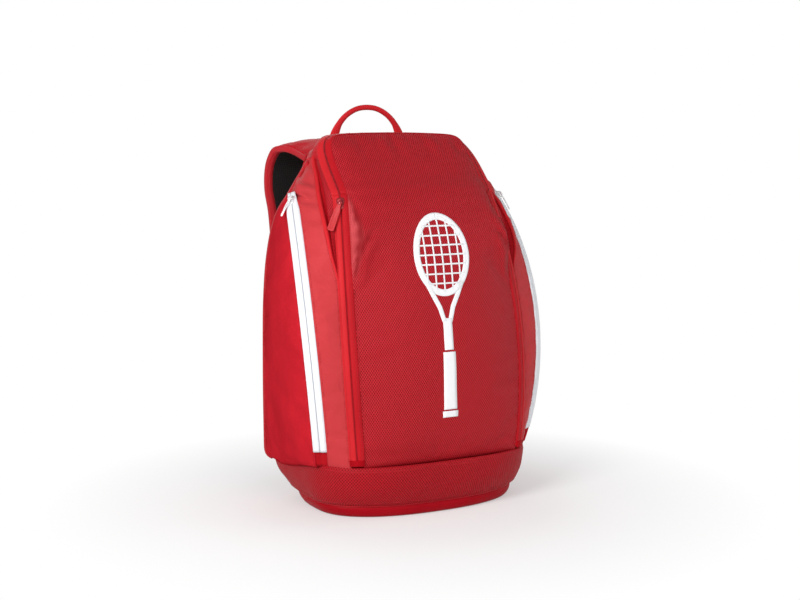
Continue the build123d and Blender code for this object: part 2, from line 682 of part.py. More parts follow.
# a single slider near the top of the left run of the main zip
main_phi = MAIN.phi_at(0.030)
main_frame = slider_frame(MAIN, main_phi, swivel_deg=22.0)
main_body = slider_body(MAIN, main_phi, half_length=7.5, half_width=5.6, one_sided=True)
save(add_bridge(main_body, main_frame), "main_slider")
save(pull(main_frame, half_width=4.4, length=39.0, thickness=2.2), "main_slider_pull")

# one near the top of each pocket zip
side_phi = SIDE.phi_at(0.035)
side_frame = slider_frame(SIDE, side_phi, swivel_deg=38.0)
side_body = slider_body(SIDE, side_phi, half_length=6.0, half_width=5.0, one_sided=False)
save_pair(add_bridge(side_body, side_frame), "side_slider")
save_pair(pull(side_frame, half_width=2.2, length=27.0, thickness=1.8), "side_slider_pull")
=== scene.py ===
# A red racket backpack standing upright on z = 0. The front flap faces -Y, the straps and the
# back padding +Y, and "left" is -X. Shapes are worked out in mm and stored in metres.
import math

import bmesh
import bpy
import numpy as np
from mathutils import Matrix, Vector, noise
from mathutils.bvhtree import BVHTree


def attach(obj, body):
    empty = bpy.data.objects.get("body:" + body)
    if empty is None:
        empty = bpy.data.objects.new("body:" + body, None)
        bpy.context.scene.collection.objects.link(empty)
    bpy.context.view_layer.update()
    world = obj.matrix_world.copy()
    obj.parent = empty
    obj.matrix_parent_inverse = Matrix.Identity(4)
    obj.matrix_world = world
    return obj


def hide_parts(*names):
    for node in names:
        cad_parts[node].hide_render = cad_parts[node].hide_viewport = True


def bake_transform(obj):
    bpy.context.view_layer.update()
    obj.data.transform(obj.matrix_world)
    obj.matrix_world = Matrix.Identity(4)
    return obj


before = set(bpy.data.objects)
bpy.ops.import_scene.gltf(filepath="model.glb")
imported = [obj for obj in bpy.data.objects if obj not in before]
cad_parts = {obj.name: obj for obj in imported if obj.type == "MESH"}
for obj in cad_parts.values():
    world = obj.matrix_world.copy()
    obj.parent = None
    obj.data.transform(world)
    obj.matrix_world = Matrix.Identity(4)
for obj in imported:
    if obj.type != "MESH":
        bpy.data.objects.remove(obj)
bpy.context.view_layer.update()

scene = bpy.context.scene
scene.view_settings.view_transform = "Standard"

# ============================================================ driving dimensions, mm
TAPE_WIDTH = 9.0               # main zip, each side
POCKET_TAPE_WIDTH = 8.4        # pocket zips, each side
HALF_GAP = 0.8                 # from a zip's centre line to its tape
PIVOT_HEIGHT = 4.6             # of the slider pins above the zip line

# Seams as (height, half width, y)
OUTER_SEAM = [
    (436, 121, 20), (404, 131, -10), (380, 136, -32), (356, 138, -48), (323, 138, -60),
    (288, 137.5, -68), (238, 137, -77), (183, 135.5, -84.5), (128, 134, -88), (69, 131, -89)]
REAR_EDGE = [
    (440, 122, 57), (425, 132, 57), (408, 141, 60), (380, 148, 84), (348, 151, 99),
    (298, 153, 111), (238, 154, 116), (158, 154, 118), (69, 153, 119)]
BACK_MID = [
    (69, 100, 119.5), (158, 100, 119.5), (238, 100, 119), (298, 102, 118.5), (348, 104, 116.5),
    (380, 100, 114), (408, 94, 110), (436, 82, 104), (452, 70, 102), (464, 64, 101)]
BACK_CENTRE = [
    (69, 0.0, 120), (298, 0.0, 120), (348, 0.0, 119.5), (380, 0.0, 119), (408, 0.0, 117.5),
    (436, 0.0, 115.5), (464, 0.0, 113.5)]
# Upper ends of the left seams as (x, y, z)
OUTER_SEAM_TOP = np.array([(-121, 20, 436), (-118.5, 32, 446), (-113.5, 43, 458)])
REAR_EDGE_TOP = np.array([(-122, 57, 440), (-119.5, 53, 447), (-117, 50, 452), (-113, 46, 458)])
BACK_EDGE_TOP = np.array([(-124, 58, 436), (-112, 64, 452), (-100, 72, 464)])

# Three points (x, y, z) on each left zip arc, from the top down, and the zip's tilt in degrees
MAIN_ARC = ((-112.0, -31.0, 408.0), (-127.0, -79.5, 255.0), (-121.0, -94.0, 72.0))
MAIN_TILT = 6.0
SIDE_ARC = ((-155.0, 26.0, 411.0), (-172.0, -57.0, 250.0), (-157.0, -60.5, 88.0))
SIDE_TILT = 16.5
# Main zip over the shoulder to the middle: points, and directions across the tape
UPPER = [
    (-111.8, -30.0, 410.0), (-111.6, -11.0, 430.0), (-111.0, 6.5, 449.0),
    (-108.5, 21.0, 465.5), (-101.0, 31.5, 478.5), (-86.0, 36.5, 484.2),
    (-44.0, 38.0, 486.3), (0.0, 38.5, 487.0)]
UPPER_ACROSS = [
    (-0.88, 0.47, -0.05), (-0.88, 0.45, -0.12), (-0.86, 0.47, -0.16), (-0.76, 0.63, -0.16),
    (-0.48, 0.86, -0.08), (-0.16, 0.98, 0.0), (0.0, 1.0, 0.0), (0.0, 1.0, 0.0)]

# Base outline: z, centre y, half width, reach forwards and backwards, front and rear squareness
BASE_LOOPS = np.array([
    (0, -14, 139, 83, 92, 2.35, 3.3), (15, -13, 144.5, 86, 99, 2.4, 3.7),
    (21, -10.8, 149, 91, 105, 2.55, 4.4), (40, -4, 152, 104, 110.5, 2.9, 5.2),
    (70, 5, 155, 119, 114.5, 3.2, 6.5)])
# Left shoulder strap: x, y, z, half width, roll in degrees
STRAP = [
    (-76, 92.0, 453.5, 26, 6), (-76.5, 108.0, 460.0, 26, 11), (-77, 124.0, 464.0, 27, 9),
    (-78, 138.0, 468.0, 31, 8), (-80, 153.0, 468.5, 32.5, 8.5), (-83, 169.0, 462.0, 33, 9.5),
    (-86, 180.0, 441.0, 33, 9), (-88, 178.0, 412.0, 33, 6), (-91, 161.0, 376.0, 32, 3),
    (-96, 148.0, 315.0, 29, 0), (-103, 143.0, 250.0, 24, 0), (-107, 141.5, 206.0, 17, 0)]
LOCK_AT = np.array([-110.5, 146.0, 178.0])


# ============================================================ curves
def unit(vector):
    vector = np.array(vector, float)
    return vector / max(np.linalg.norm(vector), 1e-12)


def smooth(start, end, x):
    t = np.clip((np.asarray(x, float) - start) / (end - start), 0, 1)
    return t * t * (3 - 2 * t)


def pchip(stations, values, x):
    """Cubic through the values that doesn't overshoot them."""
    stations, values = np.array(stations, float), np.array(values, float)
    steps = np.diff(stations)
    slopes = np.diff(values) / steps
    bend = np.zeros_like(values)
    bend[0], bend[-1] = slopes[0], slopes[-1]
    for i in range(1, len(values) - 1):
        if slopes[i - 1] * slopes[i] > 0:
            near, far = 2 * steps[i] + steps[i - 1], steps[i] + 2 * steps[i - 1]
            bend[i] = (near + far) / (near / slopes[i - 1] + far / slopes[i])
    i = np.clip(np.searchsorted(stations, x) - 1, 0, len(steps) - 1)
    t = (x - stations[i]) / steps[i]
    t2, t3 = t * t, t * t * t
    return ((2 * t3 - 3 * t2 + 1) * values[i] + (t3 - 2 * t2 + t) * steps[i] * bend[i]
            + (-2 * t3 + 3 * t2) * values[i + 1] + (t3 - t2) * steps[i] * bend[i + 1])


def left(table, z):
    """(x, y) at a height on the left-hand side of a (height, half width, y) table."""
    table = sorted(table)
    x, y = (pchip([p[0] for p in table], [p[k] for p in table], z) for k in (1, 2))
    return np.array([-x, y])


def on(line, z):
    """(x, y) at a height on a line of (x, y, z) rows that rises."""
    return np.array([np.interp(z, line[:, 2], line[:, 0]), np.interp(z, line[:, 2], line[:, 1])])


def rising(path):
    return path[np.argsort(path[:, 2])]


def point(xy, z):
    return np.array([xy[0], xy[1], z])


def catmull(points, count):
    """Catmull-Rom curve through the points, evenly spaced in its parameter."""
    pts = np.array(points, float)
    pts = np.vstack([2 * pts[0] - pts[1], pts, 2 * pts[-1] - pts[-2]])
    spans = len(pts) - 3
    out = []
    for k in range(count):
        u = k / (count - 1) * spans
        i = min(int(u), spans - 1)
        t = u - i
        a, b, c, d = pts[i:i + 4]
        out.append(0.5 * ((2 * b) + (c - a) * t + (2 * a - 5 * b + 4 * c - d) * t * t
                          + (3 * b - a - 3 * c + d) * t ** 3))
    return np.array(out)


def lengths(path):
    """Running length along a path."""
    return np.concatenate([[0], np.cumsum(np.linalg.norm(np.diff(path, axis=0), axis=1))])


def resample(path, step=None, count=None):
    """Even spacing along a path; columns after the third are carried along."""
    path = np.array(path, float)
    run = lengths(path[:, :3])
    if count is None:
        count = max(int(round(run[-1] / step)) + 1, 3)
    even = np.linspace(0, run[-1], count)
    return np.stack([np.interp(even, run, column) for column in path.T], 1)


def gauss(path, sigma):
    """Gaussian smoothing of a path, in samples."""
    reach = int(sigma * 3) + 1
    kernel = np.exp(-0.5 * (np.arange(-reach, reach + 1) / sigma) ** 2)
    kernel /= kernel.sum()
    padded = np.vstack([2 * path[0] - path[reach:0:-1], path,
                        2 * path[-1] - path[-2:-reach - 2:-1]])
    return np.stack([np.convolve(column, kernel, "valid") for column in padded.T], 1)


def tangents(path, closed=False):
    along = np.roll(path, -1, 0) - np.roll(path, 1, 0) if closed else np.gradient(path, axis=0)
    return along / np.linalg.norm(along, axis=1)[:, None]


def square_to(vectors, along):
    """Unit vectors nearest the given ones at right angles to the path."""
    vectors = vectors - (vectors * along).sum(1)[:, None] * along
    return vectors / np.maximum(np.linalg.norm(vectors, axis=1), 1e-9)[:, None]


def frames_along(path, out, closed=False):
    """Across and out vectors along a path, out as near the given one as the path allows."""
    path = np.asarray(path, float)
    along = tangents(path, closed)
    out = square_to(np.broadcast_to(out, path.shape), along)
    return np.cross(out, along), out


def line_distance(spot, line):
    """Shortest distance from a flat point to a polyline."""
    spot = np.array(spot)
    found = []
    for start, end in zip(line, line[1:]):
        start, end = np.array(start), np.array(end)
        t = np.clip((spot - start) @ (end - start) / ((end - start) @ (end - start)), 0, 1)
        found.append(np.linalg.norm(spot - start - t * (end - start)))
    return min(found)


def soft_noise(spot, scale, seed):
    x, y, z = spot
    return noise.fractal(
        Vector((x / scale + seed, y / scale - seed * 0.7, z / scale + seed * 1.3)), 1.0, 2.0, 2)


class ZipArc:
    """Circle through three points, for a tilted zip that runs from the first to the third."""

    def __init__(self, points, tilt):
        start, middle, end = (np.array(p, float) for p in points)
        to_middle, to_end = middle - start, end - start
        axis = np.cross(to_middle, to_end)
        self.centre = start + (np.cross(axis, to_middle) * (to_end @ to_end)
                               + np.cross(to_end, axis) * (to_middle @ to_middle)
                               ) / (2 * (axis @ axis))
        self.radius = float(np.linalg.norm(start - self.centre))
        self.to_middle = unit(middle - self.centre)
        axis = unit(axis)
        self.axis = -axis if axis[0] > 0 else axis
        self.sideways = np.cross(self.axis, self.to_middle)
        self.tilt = math.radians(tilt)
        self.top, self.low = self.angle(start), self.angle(end)
        self.span = self.low - self.top

    def angle(self, spot):
        ray = spot - self.centre
        return math.atan2(ray @ self.sideways, ray @ self.to_middle)

    def frame(self, angle):
        """Point, across (front to rear) and out."""
        c, s = math.cos(self.tilt), math.sin(self.tilt)
        radial = math.cos(angle) * self.to_middle + math.sin(angle) * self.sideways
        return (self.centre + self.radius * radial, self.axis * c - radial * s,
                radial * c + self.axis * s)

    def frames(self, angles):
        return [np.array(part) for part in zip(*(self.frame(angle) for angle in angles))]


# ============================================================ shader nodes
class Graph:
    """Short ways to add nodes to a node tree."""

    def __init__(self, tree):
        self.tree = tree

    def node(self, kind, **settings):
        node = self.tree.nodes.new("ShaderNode" + kind)
        for key, value in settings.items():
            setattr(node, key, value)
        return node

    def feed(self, node, inputs):
        """Links outputs to a node's inputs, or sets them to numbers or RGB colours."""
        for key, value in inputs.items():
            if isinstance(value, bpy.types.NodeSocket):
                self.tree.links.new(value, node.inputs[key])
            else:
                value = (*value, 1.0) if isinstance(value, tuple) else value
                node.inputs[key].default_value = value

    def math(self, operation, a, b=None, clamp=False):
        node = self.node("Math", operation=operation, use_clamp=clamp)
        self.feed(node, {0: a} if b is None else {0: a, 1: b})
        return node.outputs[0]

    def mul(self, a, b):
        return self.math("MULTIPLY", a, b)

    def wave(self, value, period):
        return self.math("SINE", self.mul(value, 2 * math.pi / period))

    def uv_map(self):
        return self.node("UVMap", uv_map="UVMap").outputs[0]

    def uv(self):
        vector = self.uv_map()
        split = self.node("SeparateXYZ")
        self.feed(split, {0: vector})
        return split.outputs[0], split.outputs[1]

    def object_point(self):
        return self.node("TexCoord").outputs["Object"]

    def noise(self, scale, detail=3.0, roughness=0.5, distortion=0.0):
        node = self.node("TexNoise")
        self.feed(node, {"Scale": scale, "Detail": detail, "Roughness": roughness,
                         "Distortion": distortion, "Vector": self.object_point()})
        return node.outputs["Fac"]

    def ramp(self, factor, stops):
        """stops: [(position, colour), ...]"""
        node = self.node("ValToRGB")
        elements = node.color_ramp.elements
        while len(elements) < len(stops):
            elements.new(0.5)
        for element, (position, colour) in zip(elements, stops):
            element.position = position
            element.color = (*colour, 1.0)
        self.feed(node, {0: factor})
        return node.outputs[0]

    def mix(self, factor, a, b):
        node = self.node("Mix", data_type="RGBA")
        self.feed(node, {0: factor, 6: a, 7: b})
        return node.outputs[2]

    def bump(self, height, strength, distance, normal=None):
        node = self.node("Bump")
        self.feed(node, {"Strength": strength, "Distance": distance, "Height": height})
        if normal is not None:
            self.feed(node, {"Normal": normal})
        return node.outputs[0]

    def span(self, factor, low, high):
        """Maps 0..1 to low..high."""
        node = self.node("MapRange")
        self.feed(node, {0: factor, 3: low, 4: high})
        return node.outputs[0]


def new_material(name):
    """A material, its graph and its Principled node."""
    material = bpy.data.materials.new(name)
    material.use_nodes = True
    graph = Graph(material.node_tree)
    graph.tree.nodes.clear()
    output = graph.node("OutputMaterial")
    surface = graph.node("BsdfPrincipled")
    graph.feed(output, {0: surface.outputs[0]})
    return material, graph, surface


def shade(colour, factor, lift=0.0):
    return tuple(min(max(value * factor + lift, 0.0), 1.0) for value in colour)


BLACK, WHITE = (0, 0, 0), (1, 1, 1)
RED_SHEEN = (1.0, 0.25, 0.22)


def coated_cloth(name, colour, roughness, sheen, weave=0.0007, wrinkle=0.5, drift=0.16,
                 specular=0.05):
    """Coated cloth: fine weave, soft undulation, broad colour drift, light wear."""
    material, g, surface = new_material(name)
    u, v = g.uv()
    broad = g.noise(scale=9.0, detail=3.0, roughness=0.55)
    fine = g.noise(scale=140.0, detail=2.0, roughness=0.6)
    mixed = g.ramp(broad, [(0.25, shade(colour, 1 - drift)), (0.55, colour),
                           (0.8, shade(colour, 1 + drift * 0.8))])
    mixed = g.mix(g.span(fine, 0.0, 0.35), mixed, shade(colour, 0.78))
    scuff = g.ramp(g.noise(scale=420.0, detail=4.0, roughness=0.7),
                   [(0.62, BLACK), (0.78, WHITE)])
    mixed = g.mix(g.mul(scuff, 0.10), mixed, shade(colour, factor=1.2, lift=0.06))
    gloss = g.span(g.noise(scale=30.0, detail=3.0), roughness - 0.08, roughness + 0.1)
    threads = g.mul(g.wave(u, weave), g.wave(v, weave))
    woven = g.bump(threads, strength=0.25, distance=0.00012)
    soft = g.noise(scale=26.0, detail=3.0, roughness=0.55, distortion=0.6)
    g.feed(surface, {
        "Base Color": mixed, "Roughness": gloss, "Sheen Weight": sheen * 0.35,
        "Sheen Roughness": 0.45, "Specular IOR Level": specular,
        "Sheen Tint": RED_SHEEN if colour[0] > 3 * colour[1] else (1.0, 1.0, 1.0),
        "Normal": g.bump(soft, strength=wrinkle, distance=0.0035, normal=woven)})
    return material


def dobby_cloth(name, colour, raised, groove_shade):
    """Embossed cloth: staggered raised diamonds with a painted highlight on their tops and painted
    shade in the dark grooves between them.
    """
    pitch_u, pitch_v, depth = 0.0031, 0.0047, 0.00045      # metres
    material, g, surface = new_material(name)
    u, v = g.uv()
    wobble = g.mul(g.math("SUBTRACT", g.noise(scale=60.0, detail=2.0), 0.5), 0.0006)
    phase_u = g.mul(g.math("ADD", u, wobble), math.pi / pitch_u)
    phase_v = g.mul(g.math("ADD", v, wobble), math.pi / pitch_v)
    up = g.math("SINE", g.math("ADD", phase_u, phase_v))
    down = g.math("SINE", g.math("SUBTRACT", phase_u, phase_v))
    net = g.math("POWER", g.math("ABSOLUTE", g.mul(up, down)), 0.6)
    dots = g.math("POWER", g.math("ADD", g.mul(up, up), g.mul(down, down)), 0.5, clamp=True)
    height = g.math("ADD", g.mul(net, 0.45), g.mul(dots, 0.55))
    broad = g.noise(scale=8.0, detail=3.0, roughness=0.55)
    ground = g.ramp(broad, [(0.3, shade(colour, 0.9)), (0.7, shade(colour, 1.08))])
    # painted highlight: the raised colour lightens the tops of the diamonds
    mixed = g.mix(g.ramp(height, [(0.58, BLACK), (0.93, WHITE)]), ground, raised)
    # painted shade: the groove colour darkens the grooves between the diamonds
    sunk = g.ramp(height, [(0.30, WHITE), (0.64, BLACK)])
    mixed = g.mix(g.mul(sunk, 0.95), mixed, groove_shade)
    # painted highlight on the raised points of the flap's side facets, and painted shade along the
    # pressed creases beside them, both from weights stored on the flap
    turned = g.node("Attribute", attribute_name="turned_side")
    crease = g.node("Attribute", attribute_name="painted_crease_shade")
    painted_highlight_colour = g.mix(height, shade(colour, factor=1.35, lift=0.03),
                  shade(raised, factor=1.35, lift=0.10))
    uneven = g.span(g.noise(scale=45.0, detail=2.0), 0.62, 0.95)
    mixed = g.mix(g.mul(turned.outputs["Fac"], uneven), mixed, painted_highlight_colour)
    # painted shade along the pressed creases
    mixed = g.mix(g.mul(crease.outputs["Fac"], 0.75), mixed, shade(groove_shade, 2.2))
    thread = g.noise(scale=900.0, detail=2.0, roughness=0.6)
    mixed = g.mix(g.span(thread, 0.0, 0.25), mixed, shade(colour, 0.6))
    gloss = g.span(height, 0.62, 0.44)
    embossed = g.bump(height, strength=0.9, distance=depth * 1.3)
    soft = g.noise(scale=22.0, detail=3.0, roughness=0.5, distortion=0.4)
    g.feed(surface, {
        "Base Color": mixed, "Roughness": gloss, "Sheen Weight": 0.03, "Sheen Roughness": 0.4,
        "Sheen Tint": RED_SHEEN, "Specular IOR Level": 0.12,
        "Normal": g.bump(soft, strength=0.35, distance=0.003, normal=embossed)})
    return material


def ribbed(name, colour, period, roughness, depth=0.0002, strength=0.6):
    """Tape, cord or webbing: ribs across, fine threads, slight soiling."""
    material, g, surface = new_material(name)
    u, v = g.uv()
    rib = g.wave(v, period)
    thread = g.wave(u, 0.0011)
    height = g.math("ADD", rib, g.mul(thread, 0.35))
    mixed = g.mix(g.span(height, 0.0, 0.35), colour, shade(colour, 0.82))
    soil = g.span(g.noise(scale=40.0, detail=4.0, roughness=0.6), 0.0, 0.3)
    mixed = g.mix(soil, mixed, shade(colour, 0.84))
    soft = g.bump(g.noise(scale=50.0, detail=2.0), strength=0.25, distance=0.0012)
    g.feed(surface, {
        "Base Color": mixed, "Roughness": roughness, "Specular IOR Level": 0.18,
        "Sheen Weight": 0.04, "Normal": g.bump(height, strength, depth, normal=soft)})
    return material


def spacer_mesh(name, colour):
    """Spacer mesh: nearly hexagonal pits."""
    material, g, surface = new_material(name)
    cells = g.node("TexVoronoi", feature="F1")
    g.feed(cells, {"Scale": 330.0, "Randomness": 0.18, "Vector": g.uv_map()})
    height = g.math("MULTIPLY", cells.outputs["Distance"], 1.9, clamp=True)
    mixed = g.ramp(height, [(0.1, shade(colour, 0.25)), (0.45, colour),
                            (0.9, shade(colour, 1.9))])
    dust = g.span(g.noise(scale=25.0, detail=3.0), 0.0, 0.4)
    mixed = g.mix(dust, mixed, shade(colour, 0.5))
    soft = g.bump(g.noise(scale=20.0, detail=3.0), strength=0.4, distance=0.003)
    g.feed(surface, {
        "Base Color": mixed, "Roughness": 0.8, "Sheen Weight": 0.03, "Specular IOR Level": 0.2,
        "Normal": g.bump(height, strength=0.9, distance=0.0008, normal=soft)})
    return material


def hard_part(name, colour, roughness, metallic=0.0, coat=0.0):
    """Moulded or cast part: grain, worn edges, uneven gloss."""
    material, g, surface = new_material(name)
    geometry = g.node("NewGeometry")
    edge = g.ramp(geometry.outputs["Pointiness"], [(0.49, BLACK), (0.56, WHITE)])
    grain = g.noise(scale=90.0, detail=4.0, roughness=0.6)
    mixed = g.mix(g.span(grain, 0.0, 0.4), colour, shade(colour, 0.72))
    mixed = g.mix(g.mul(edge, 0.25), mixed, shade(colour, factor=1.3, lift=0.05))
    gloss = g.span(g.noise(scale=300.0, detail=3.0), roughness - 0.08, roughness + 0.12)
    pores = g.noise(scale=1500.0, detail=2.0)
    g.feed(surface, {
        "Base Color": mixed, "Metallic": metallic, "Coat Weight": coat, "Roughness": gloss,
        "Normal": g.bump(pores, strength=0.2, distance=0.0001)})
    return material


# colour of the painted shade in the grooves of the embossed cloth
GROOVE_SHADE = (0.085, 0.0006, 0.002)
MATERIALS = {
    "smooth": coated_cloth("red_coated", (0.50, 0.010, 0.018), roughness=0.44, sheen=0.13,
                           drift=0.2),
    # copy of the smooth cloth with paler green and blue for the front side panels: painted sheen
    "side": coated_cloth("red_coated_painted_sheen", (0.50, 0.040, 0.046), roughness=0.44, sheen=0.13,
                         drift=0.14),
    "pocket": coated_cloth("red_coated_pocket", (0.48, 0.014, 0.024), roughness=0.5,
                           sheen=0.05, drift=0.30, specular=0.0),
    "panel": dobby_cloth("red_dobby", (0.345, 0.003, 0.010), raised=(0.49, 0.020, 0.028),
                         groove_shade=GROOVE_SHADE),
    # darker copy of the embossed cloth for the base cuff: painted shade on the lower part of the
    # bag
    "cuff": dobby_cloth("red_dobby_painted_shade", (0.315, 0.002, 0.008), raised=(0.43, 0.010, 0.017),
                        groove_shade=GROOVE_SHADE),
    "inner lip": coated_cloth("red_zip_lip_inner", (0.43, 0.009, 0.015), roughness=0.42,
                              sheen=0.1, wrinkle=0.2, weave=0.0009),
    "recess": coated_cloth("red_shaded", (0.42, 0.006, 0.012), roughness=0.5, sheen=0.08,
                           wrinkle=0.3),
    "zip": coated_cloth("red_zip_lip", (0.55, 0.018, 0.024), roughness=0.38, sheen=0.16,
                        wrinkle=0.2, weave=0.0009),
    "dark": coated_cloth("red_recess", (0.36, 0.002, 0.007), roughness=0.55, sheen=0.08,
                         wrinkle=0.3),
    "bind": ribbed("red_binding", (0.46, 0.009, 0.017), period=0.0014, roughness=0.45),
    "rim": coated_cloth("red_rim", (0.33, 0.003, 0.009), roughness=0.34, sheen=0.05,
                        wrinkle=0.25),
    "white": ribbed("white_tape", (0.77, 0.79, 0.83), period=0.0016, roughness=0.42,
                    depth=0.00012, strength=0.35),
    "cord": ribbed("white_cord", (0.86, 0.86, 0.87), period=0.0022, roughness=0.6,
                   depth=0.0003),
    "coil": ribbed("red_coil", (0.46, 0.008, 0.016), period=0.0015, roughness=0.4,
                   depth=0.0006, strength=1.0),
    "pale coil": ribbed("pale_coil", (0.55, 0.56, 0.60), period=0.0015, roughness=0.4,
                        depth=0.0006, strength=1.0),
    "mesh": spacer_mesh("black_mesh", (0.0055, 0.0052, 0.0052)),
    "web": ribbed("black_webbing", (0.03, 0.03, 0.033), period=0.0021, roughness=0.6,
                  depth=0.0005),
    "lining": coated_cloth("grey_lining", (0.055, 0.055, 0.06), roughness=0.6, sheen=0.2,
                           wrinkle=0.6, weave=0.0011),
    "plastic": hard_part("black_acetal", (0.018, 0.018, 0.02), roughness=0.38),
    "tab": hard_part("red_moulded", (0.50, 0.010, 0.015), roughness=0.5),
    "metal": hard_part("red_painted_slider", (0.30, 0.006, 0.012), roughness=0.25,
                       metallic=0.4, coat=0.4),
    "white metal": hard_part("white_painted_slider", (0.75, 0.75, 0.77), roughness=0.3,
                             metallic=0.2, coat=0.3),
    "print": coated_cloth("white_print", (0.84, 0.85, 0.87), roughness=0.5, sheen=0.05,
                          wrinkle=0.15, drift=0.05),
    "stitch": ribbed("red_thread", (0.42, 0.012, 0.018), period=0.003, roughness=0.6,
                     depth=0.0003),
}


# ============================================================ mesh building
def link(piece):
    scene.collection.objects.link(piece)
    return piece


def shade_smooth(mesh):
    mesh.polygons.foreach_set("use_smooth", [True] * len(mesh.polygons))


def read_points(mesh):
    points = np.zeros(len(mesh.vertices) * 3, np.float32)
    mesh.vertices.foreach_get("co", points)
    return points.reshape(-1, 3)


def write_points(mesh, points):
    mesh.vertices.foreach_set("co", points.astype(np.float32).ravel())
    mesh.update()


def make(name, verts, faces, uvs, mat, rounded=True):
    """Object from points in mm, with per-point UVs and normals turned outwards."""
    mesh = bpy.data.meshes.new(name)
    mesh.from_pydata([tuple(v) for v in np.asarray(verts) * 0.001], [], faces)
    mesh.update()
    layer = mesh.uv_layers.new(name="UVMap")
    corners = np.zeros(len(mesh.loops), int)
    mesh.loops.foreach_get("vertex_index", corners)
    layer.data.foreach_set("uv", np.asarray(uvs, np.float32)[corners].ravel())
    bm = bmesh.new()
    bm.from_mesh(mesh)
    bmesh.ops.recalc_face_normals(bm, faces=bm.faces)
    bm.to_mesh(mesh)
    bm.free()
    if rounded:
        shade_smooth(mesh)
    piece = bpy.data.objects.new(name, mesh)
    mesh.materials.append(MATERIALS[mat])
    return link(piece)


def grid_uv(grid):
    """Lengths along rows and columns of a grid, in metres."""
    rows, cols = grid.shape[:2]
    across = np.linalg.norm(np.diff(grid, axis=1), axis=2)
    u = np.concatenate([np.zeros((rows, 1)), np.cumsum(across, 1)], 1)
    u = u - u[:, cols // 2][:, None]
    up = np.linalg.norm(np.diff(grid, axis=0), axis=2)
    v = np.concatenate([np.zeros((1, cols)), np.cumsum(up, 0)], 0)
    v = v.mean(1)[:, None] * np.ones((1, cols))
    return np.stack([u * 0.001, v * 0.001], 2).reshape(-1, 2)


def grid_normals(grid):
    normals = np.cross(np.gradient(grid, axis=1), np.gradient(grid, axis=0))
    return normals / np.maximum(np.linalg.norm(normals, axis=2), 1e-9)[:, :, None]


def two_faced(name, outer, inner, mat, inner_mat=None):
    """Closed panel between two grids of the same size."""
    rows, cols = outer.shape[:2]
    back = rows * cols
    faces = []
    for j in range(rows - 1):
        for i in range(cols - 1):
            a = j * cols + i
            faces.append((a, a + 1, a + cols + 1, a + cols))
            faces.append((back + a, back + a + cols, back + a + cols + 1, back + a + 1))
    flat_count = len(faces)
    for i in range(cols - 1):
        a, b = i, (rows - 1) * cols + i
        faces.append((a, back + a, back + a + 1, a + 1))
        faces.append((b, b + 1, back + b + 1, back + b))
    for j in range(rows - 1):
        a, b = j * cols, j * cols + cols - 1
        faces.append((a, a + cols, back + a + cols, back + a))
        faces.append((b, back + b, back + b + cols, b + cols))
    uv = grid_uv(outer)
    verts = np.vstack([outer.reshape(-1, 3), inner.reshape(-1, 3)])
    piece = make(name, verts, faces, np.vstack([uv, uv]), mat)
    if inner_mat:
        piece.data.materials.append(MATERIALS[inner_mat])
        slots = [0, 1] * (flat_count // 2) + [0] * (len(faces) - flat_count)
        piece.data.polygons.foreach_set("material_index", slots)
    piece["nu"], piece["nv"] = cols, rows
    return piece


def sheet(name, grid, thickness, mat, inside, inner_mat=None):
    """Closed padded panel whose outer face is the grid; inside is a point on its inner side."""
    grid = np.asarray(grid, float)
    normals = grid_normals(grid)
    if (normals * (np.asarray(inside, float) - grid)).sum() > 0:
        normals = -normals
    return two_faced(name, grid, grid - normals * thickness, mat, inner_mat)


def ring_faces(rows, cols, closed):
    """Quads of a grid whose rows are closed loops; closed also joins the last row to the first."""
    return [(j * cols + i, j * cols + (i + 1) % cols,
             (j + 1) % rows * cols + (i + 1) % cols, (j + 1) % rows * cols + i)
            for j in range(rows if closed else rows - 1) for i in range(cols)]


def swept(path, across, out, section):
    """Grid of points of a section [(across, out), ...], or one per station, along a path."""
    path = np.asarray(path, float)
    across, out = (np.broadcast_to(v, path.shape)[:, None] for v in (across, out))
    section = np.broadcast_to(section, (len(path), *np.shape(section)[-2:]))
    return path[:, None] + across * section[:, :, 0:1] + out * section[:, :, 1:2]


def tube(name, path, across, out, section, mat, closed=False):
    """Closed section swept along a path, with end caps unless the path is closed."""
    grid = swept(path, across, out, section)
    rows, cols = grid.shape[:2]
    profile = np.asarray(section, float).reshape(-1, cols, 2)[0]
    uv = np.stack([np.tile(lengths(profile), rows), np.repeat(lengths(path), cols)], 1) * 0.001
    faces = ring_faces(rows, cols, closed)
    if not closed:
        faces.append(tuple(range(cols)))
        faces.append(tuple(range((rows - 1) * cols, rows * cols)))
    return make(name, grid.reshape(-1, 3), faces, uv, mat)


def scaled(section, wide, thick=1.0):
    """One copy of a section per station, each scaled across and outwards."""
    return np.array(section) * np.stack(np.broadcast_arrays(wide, thick), 1)[:, None]


def squarish(angle, reach_x, reach_y, power):
    """Point of a superellipse."""
    c, s = math.cos(angle), math.sin(angle)
    return (math.copysign(abs(c) ** (2 / power), c) * reach_x,
            math.copysign(abs(s) ** (2 / power), s) * reach_y)


def oval(half_wide, half_thick, count, power=2.0):
    return [squarish(2 * math.pi * k / count, half_wide, half_thick, power)
            for k in range(count)]


def mirrored(piece, name):
    mesh = piece.data.copy()
    mesh.name = name
    write_points(mesh, read_points(mesh) * np.array([-1, 1, 1], np.float32))
    mesh.flip_normals()
    mesh.update()
    return link(bpy.data.objects.new(name, mesh))


def join(name, pieces):
    bpy.ops.object.select_all(action="DESELECT")
    for piece in pieces:
        piece.select_set(True)
    bpy.context.view_layer.objects.active = pieces[0]
    bpy.ops.object.join()
    pieces[0].name = name
    pieces[0].data.name = name
    return pieces[0]


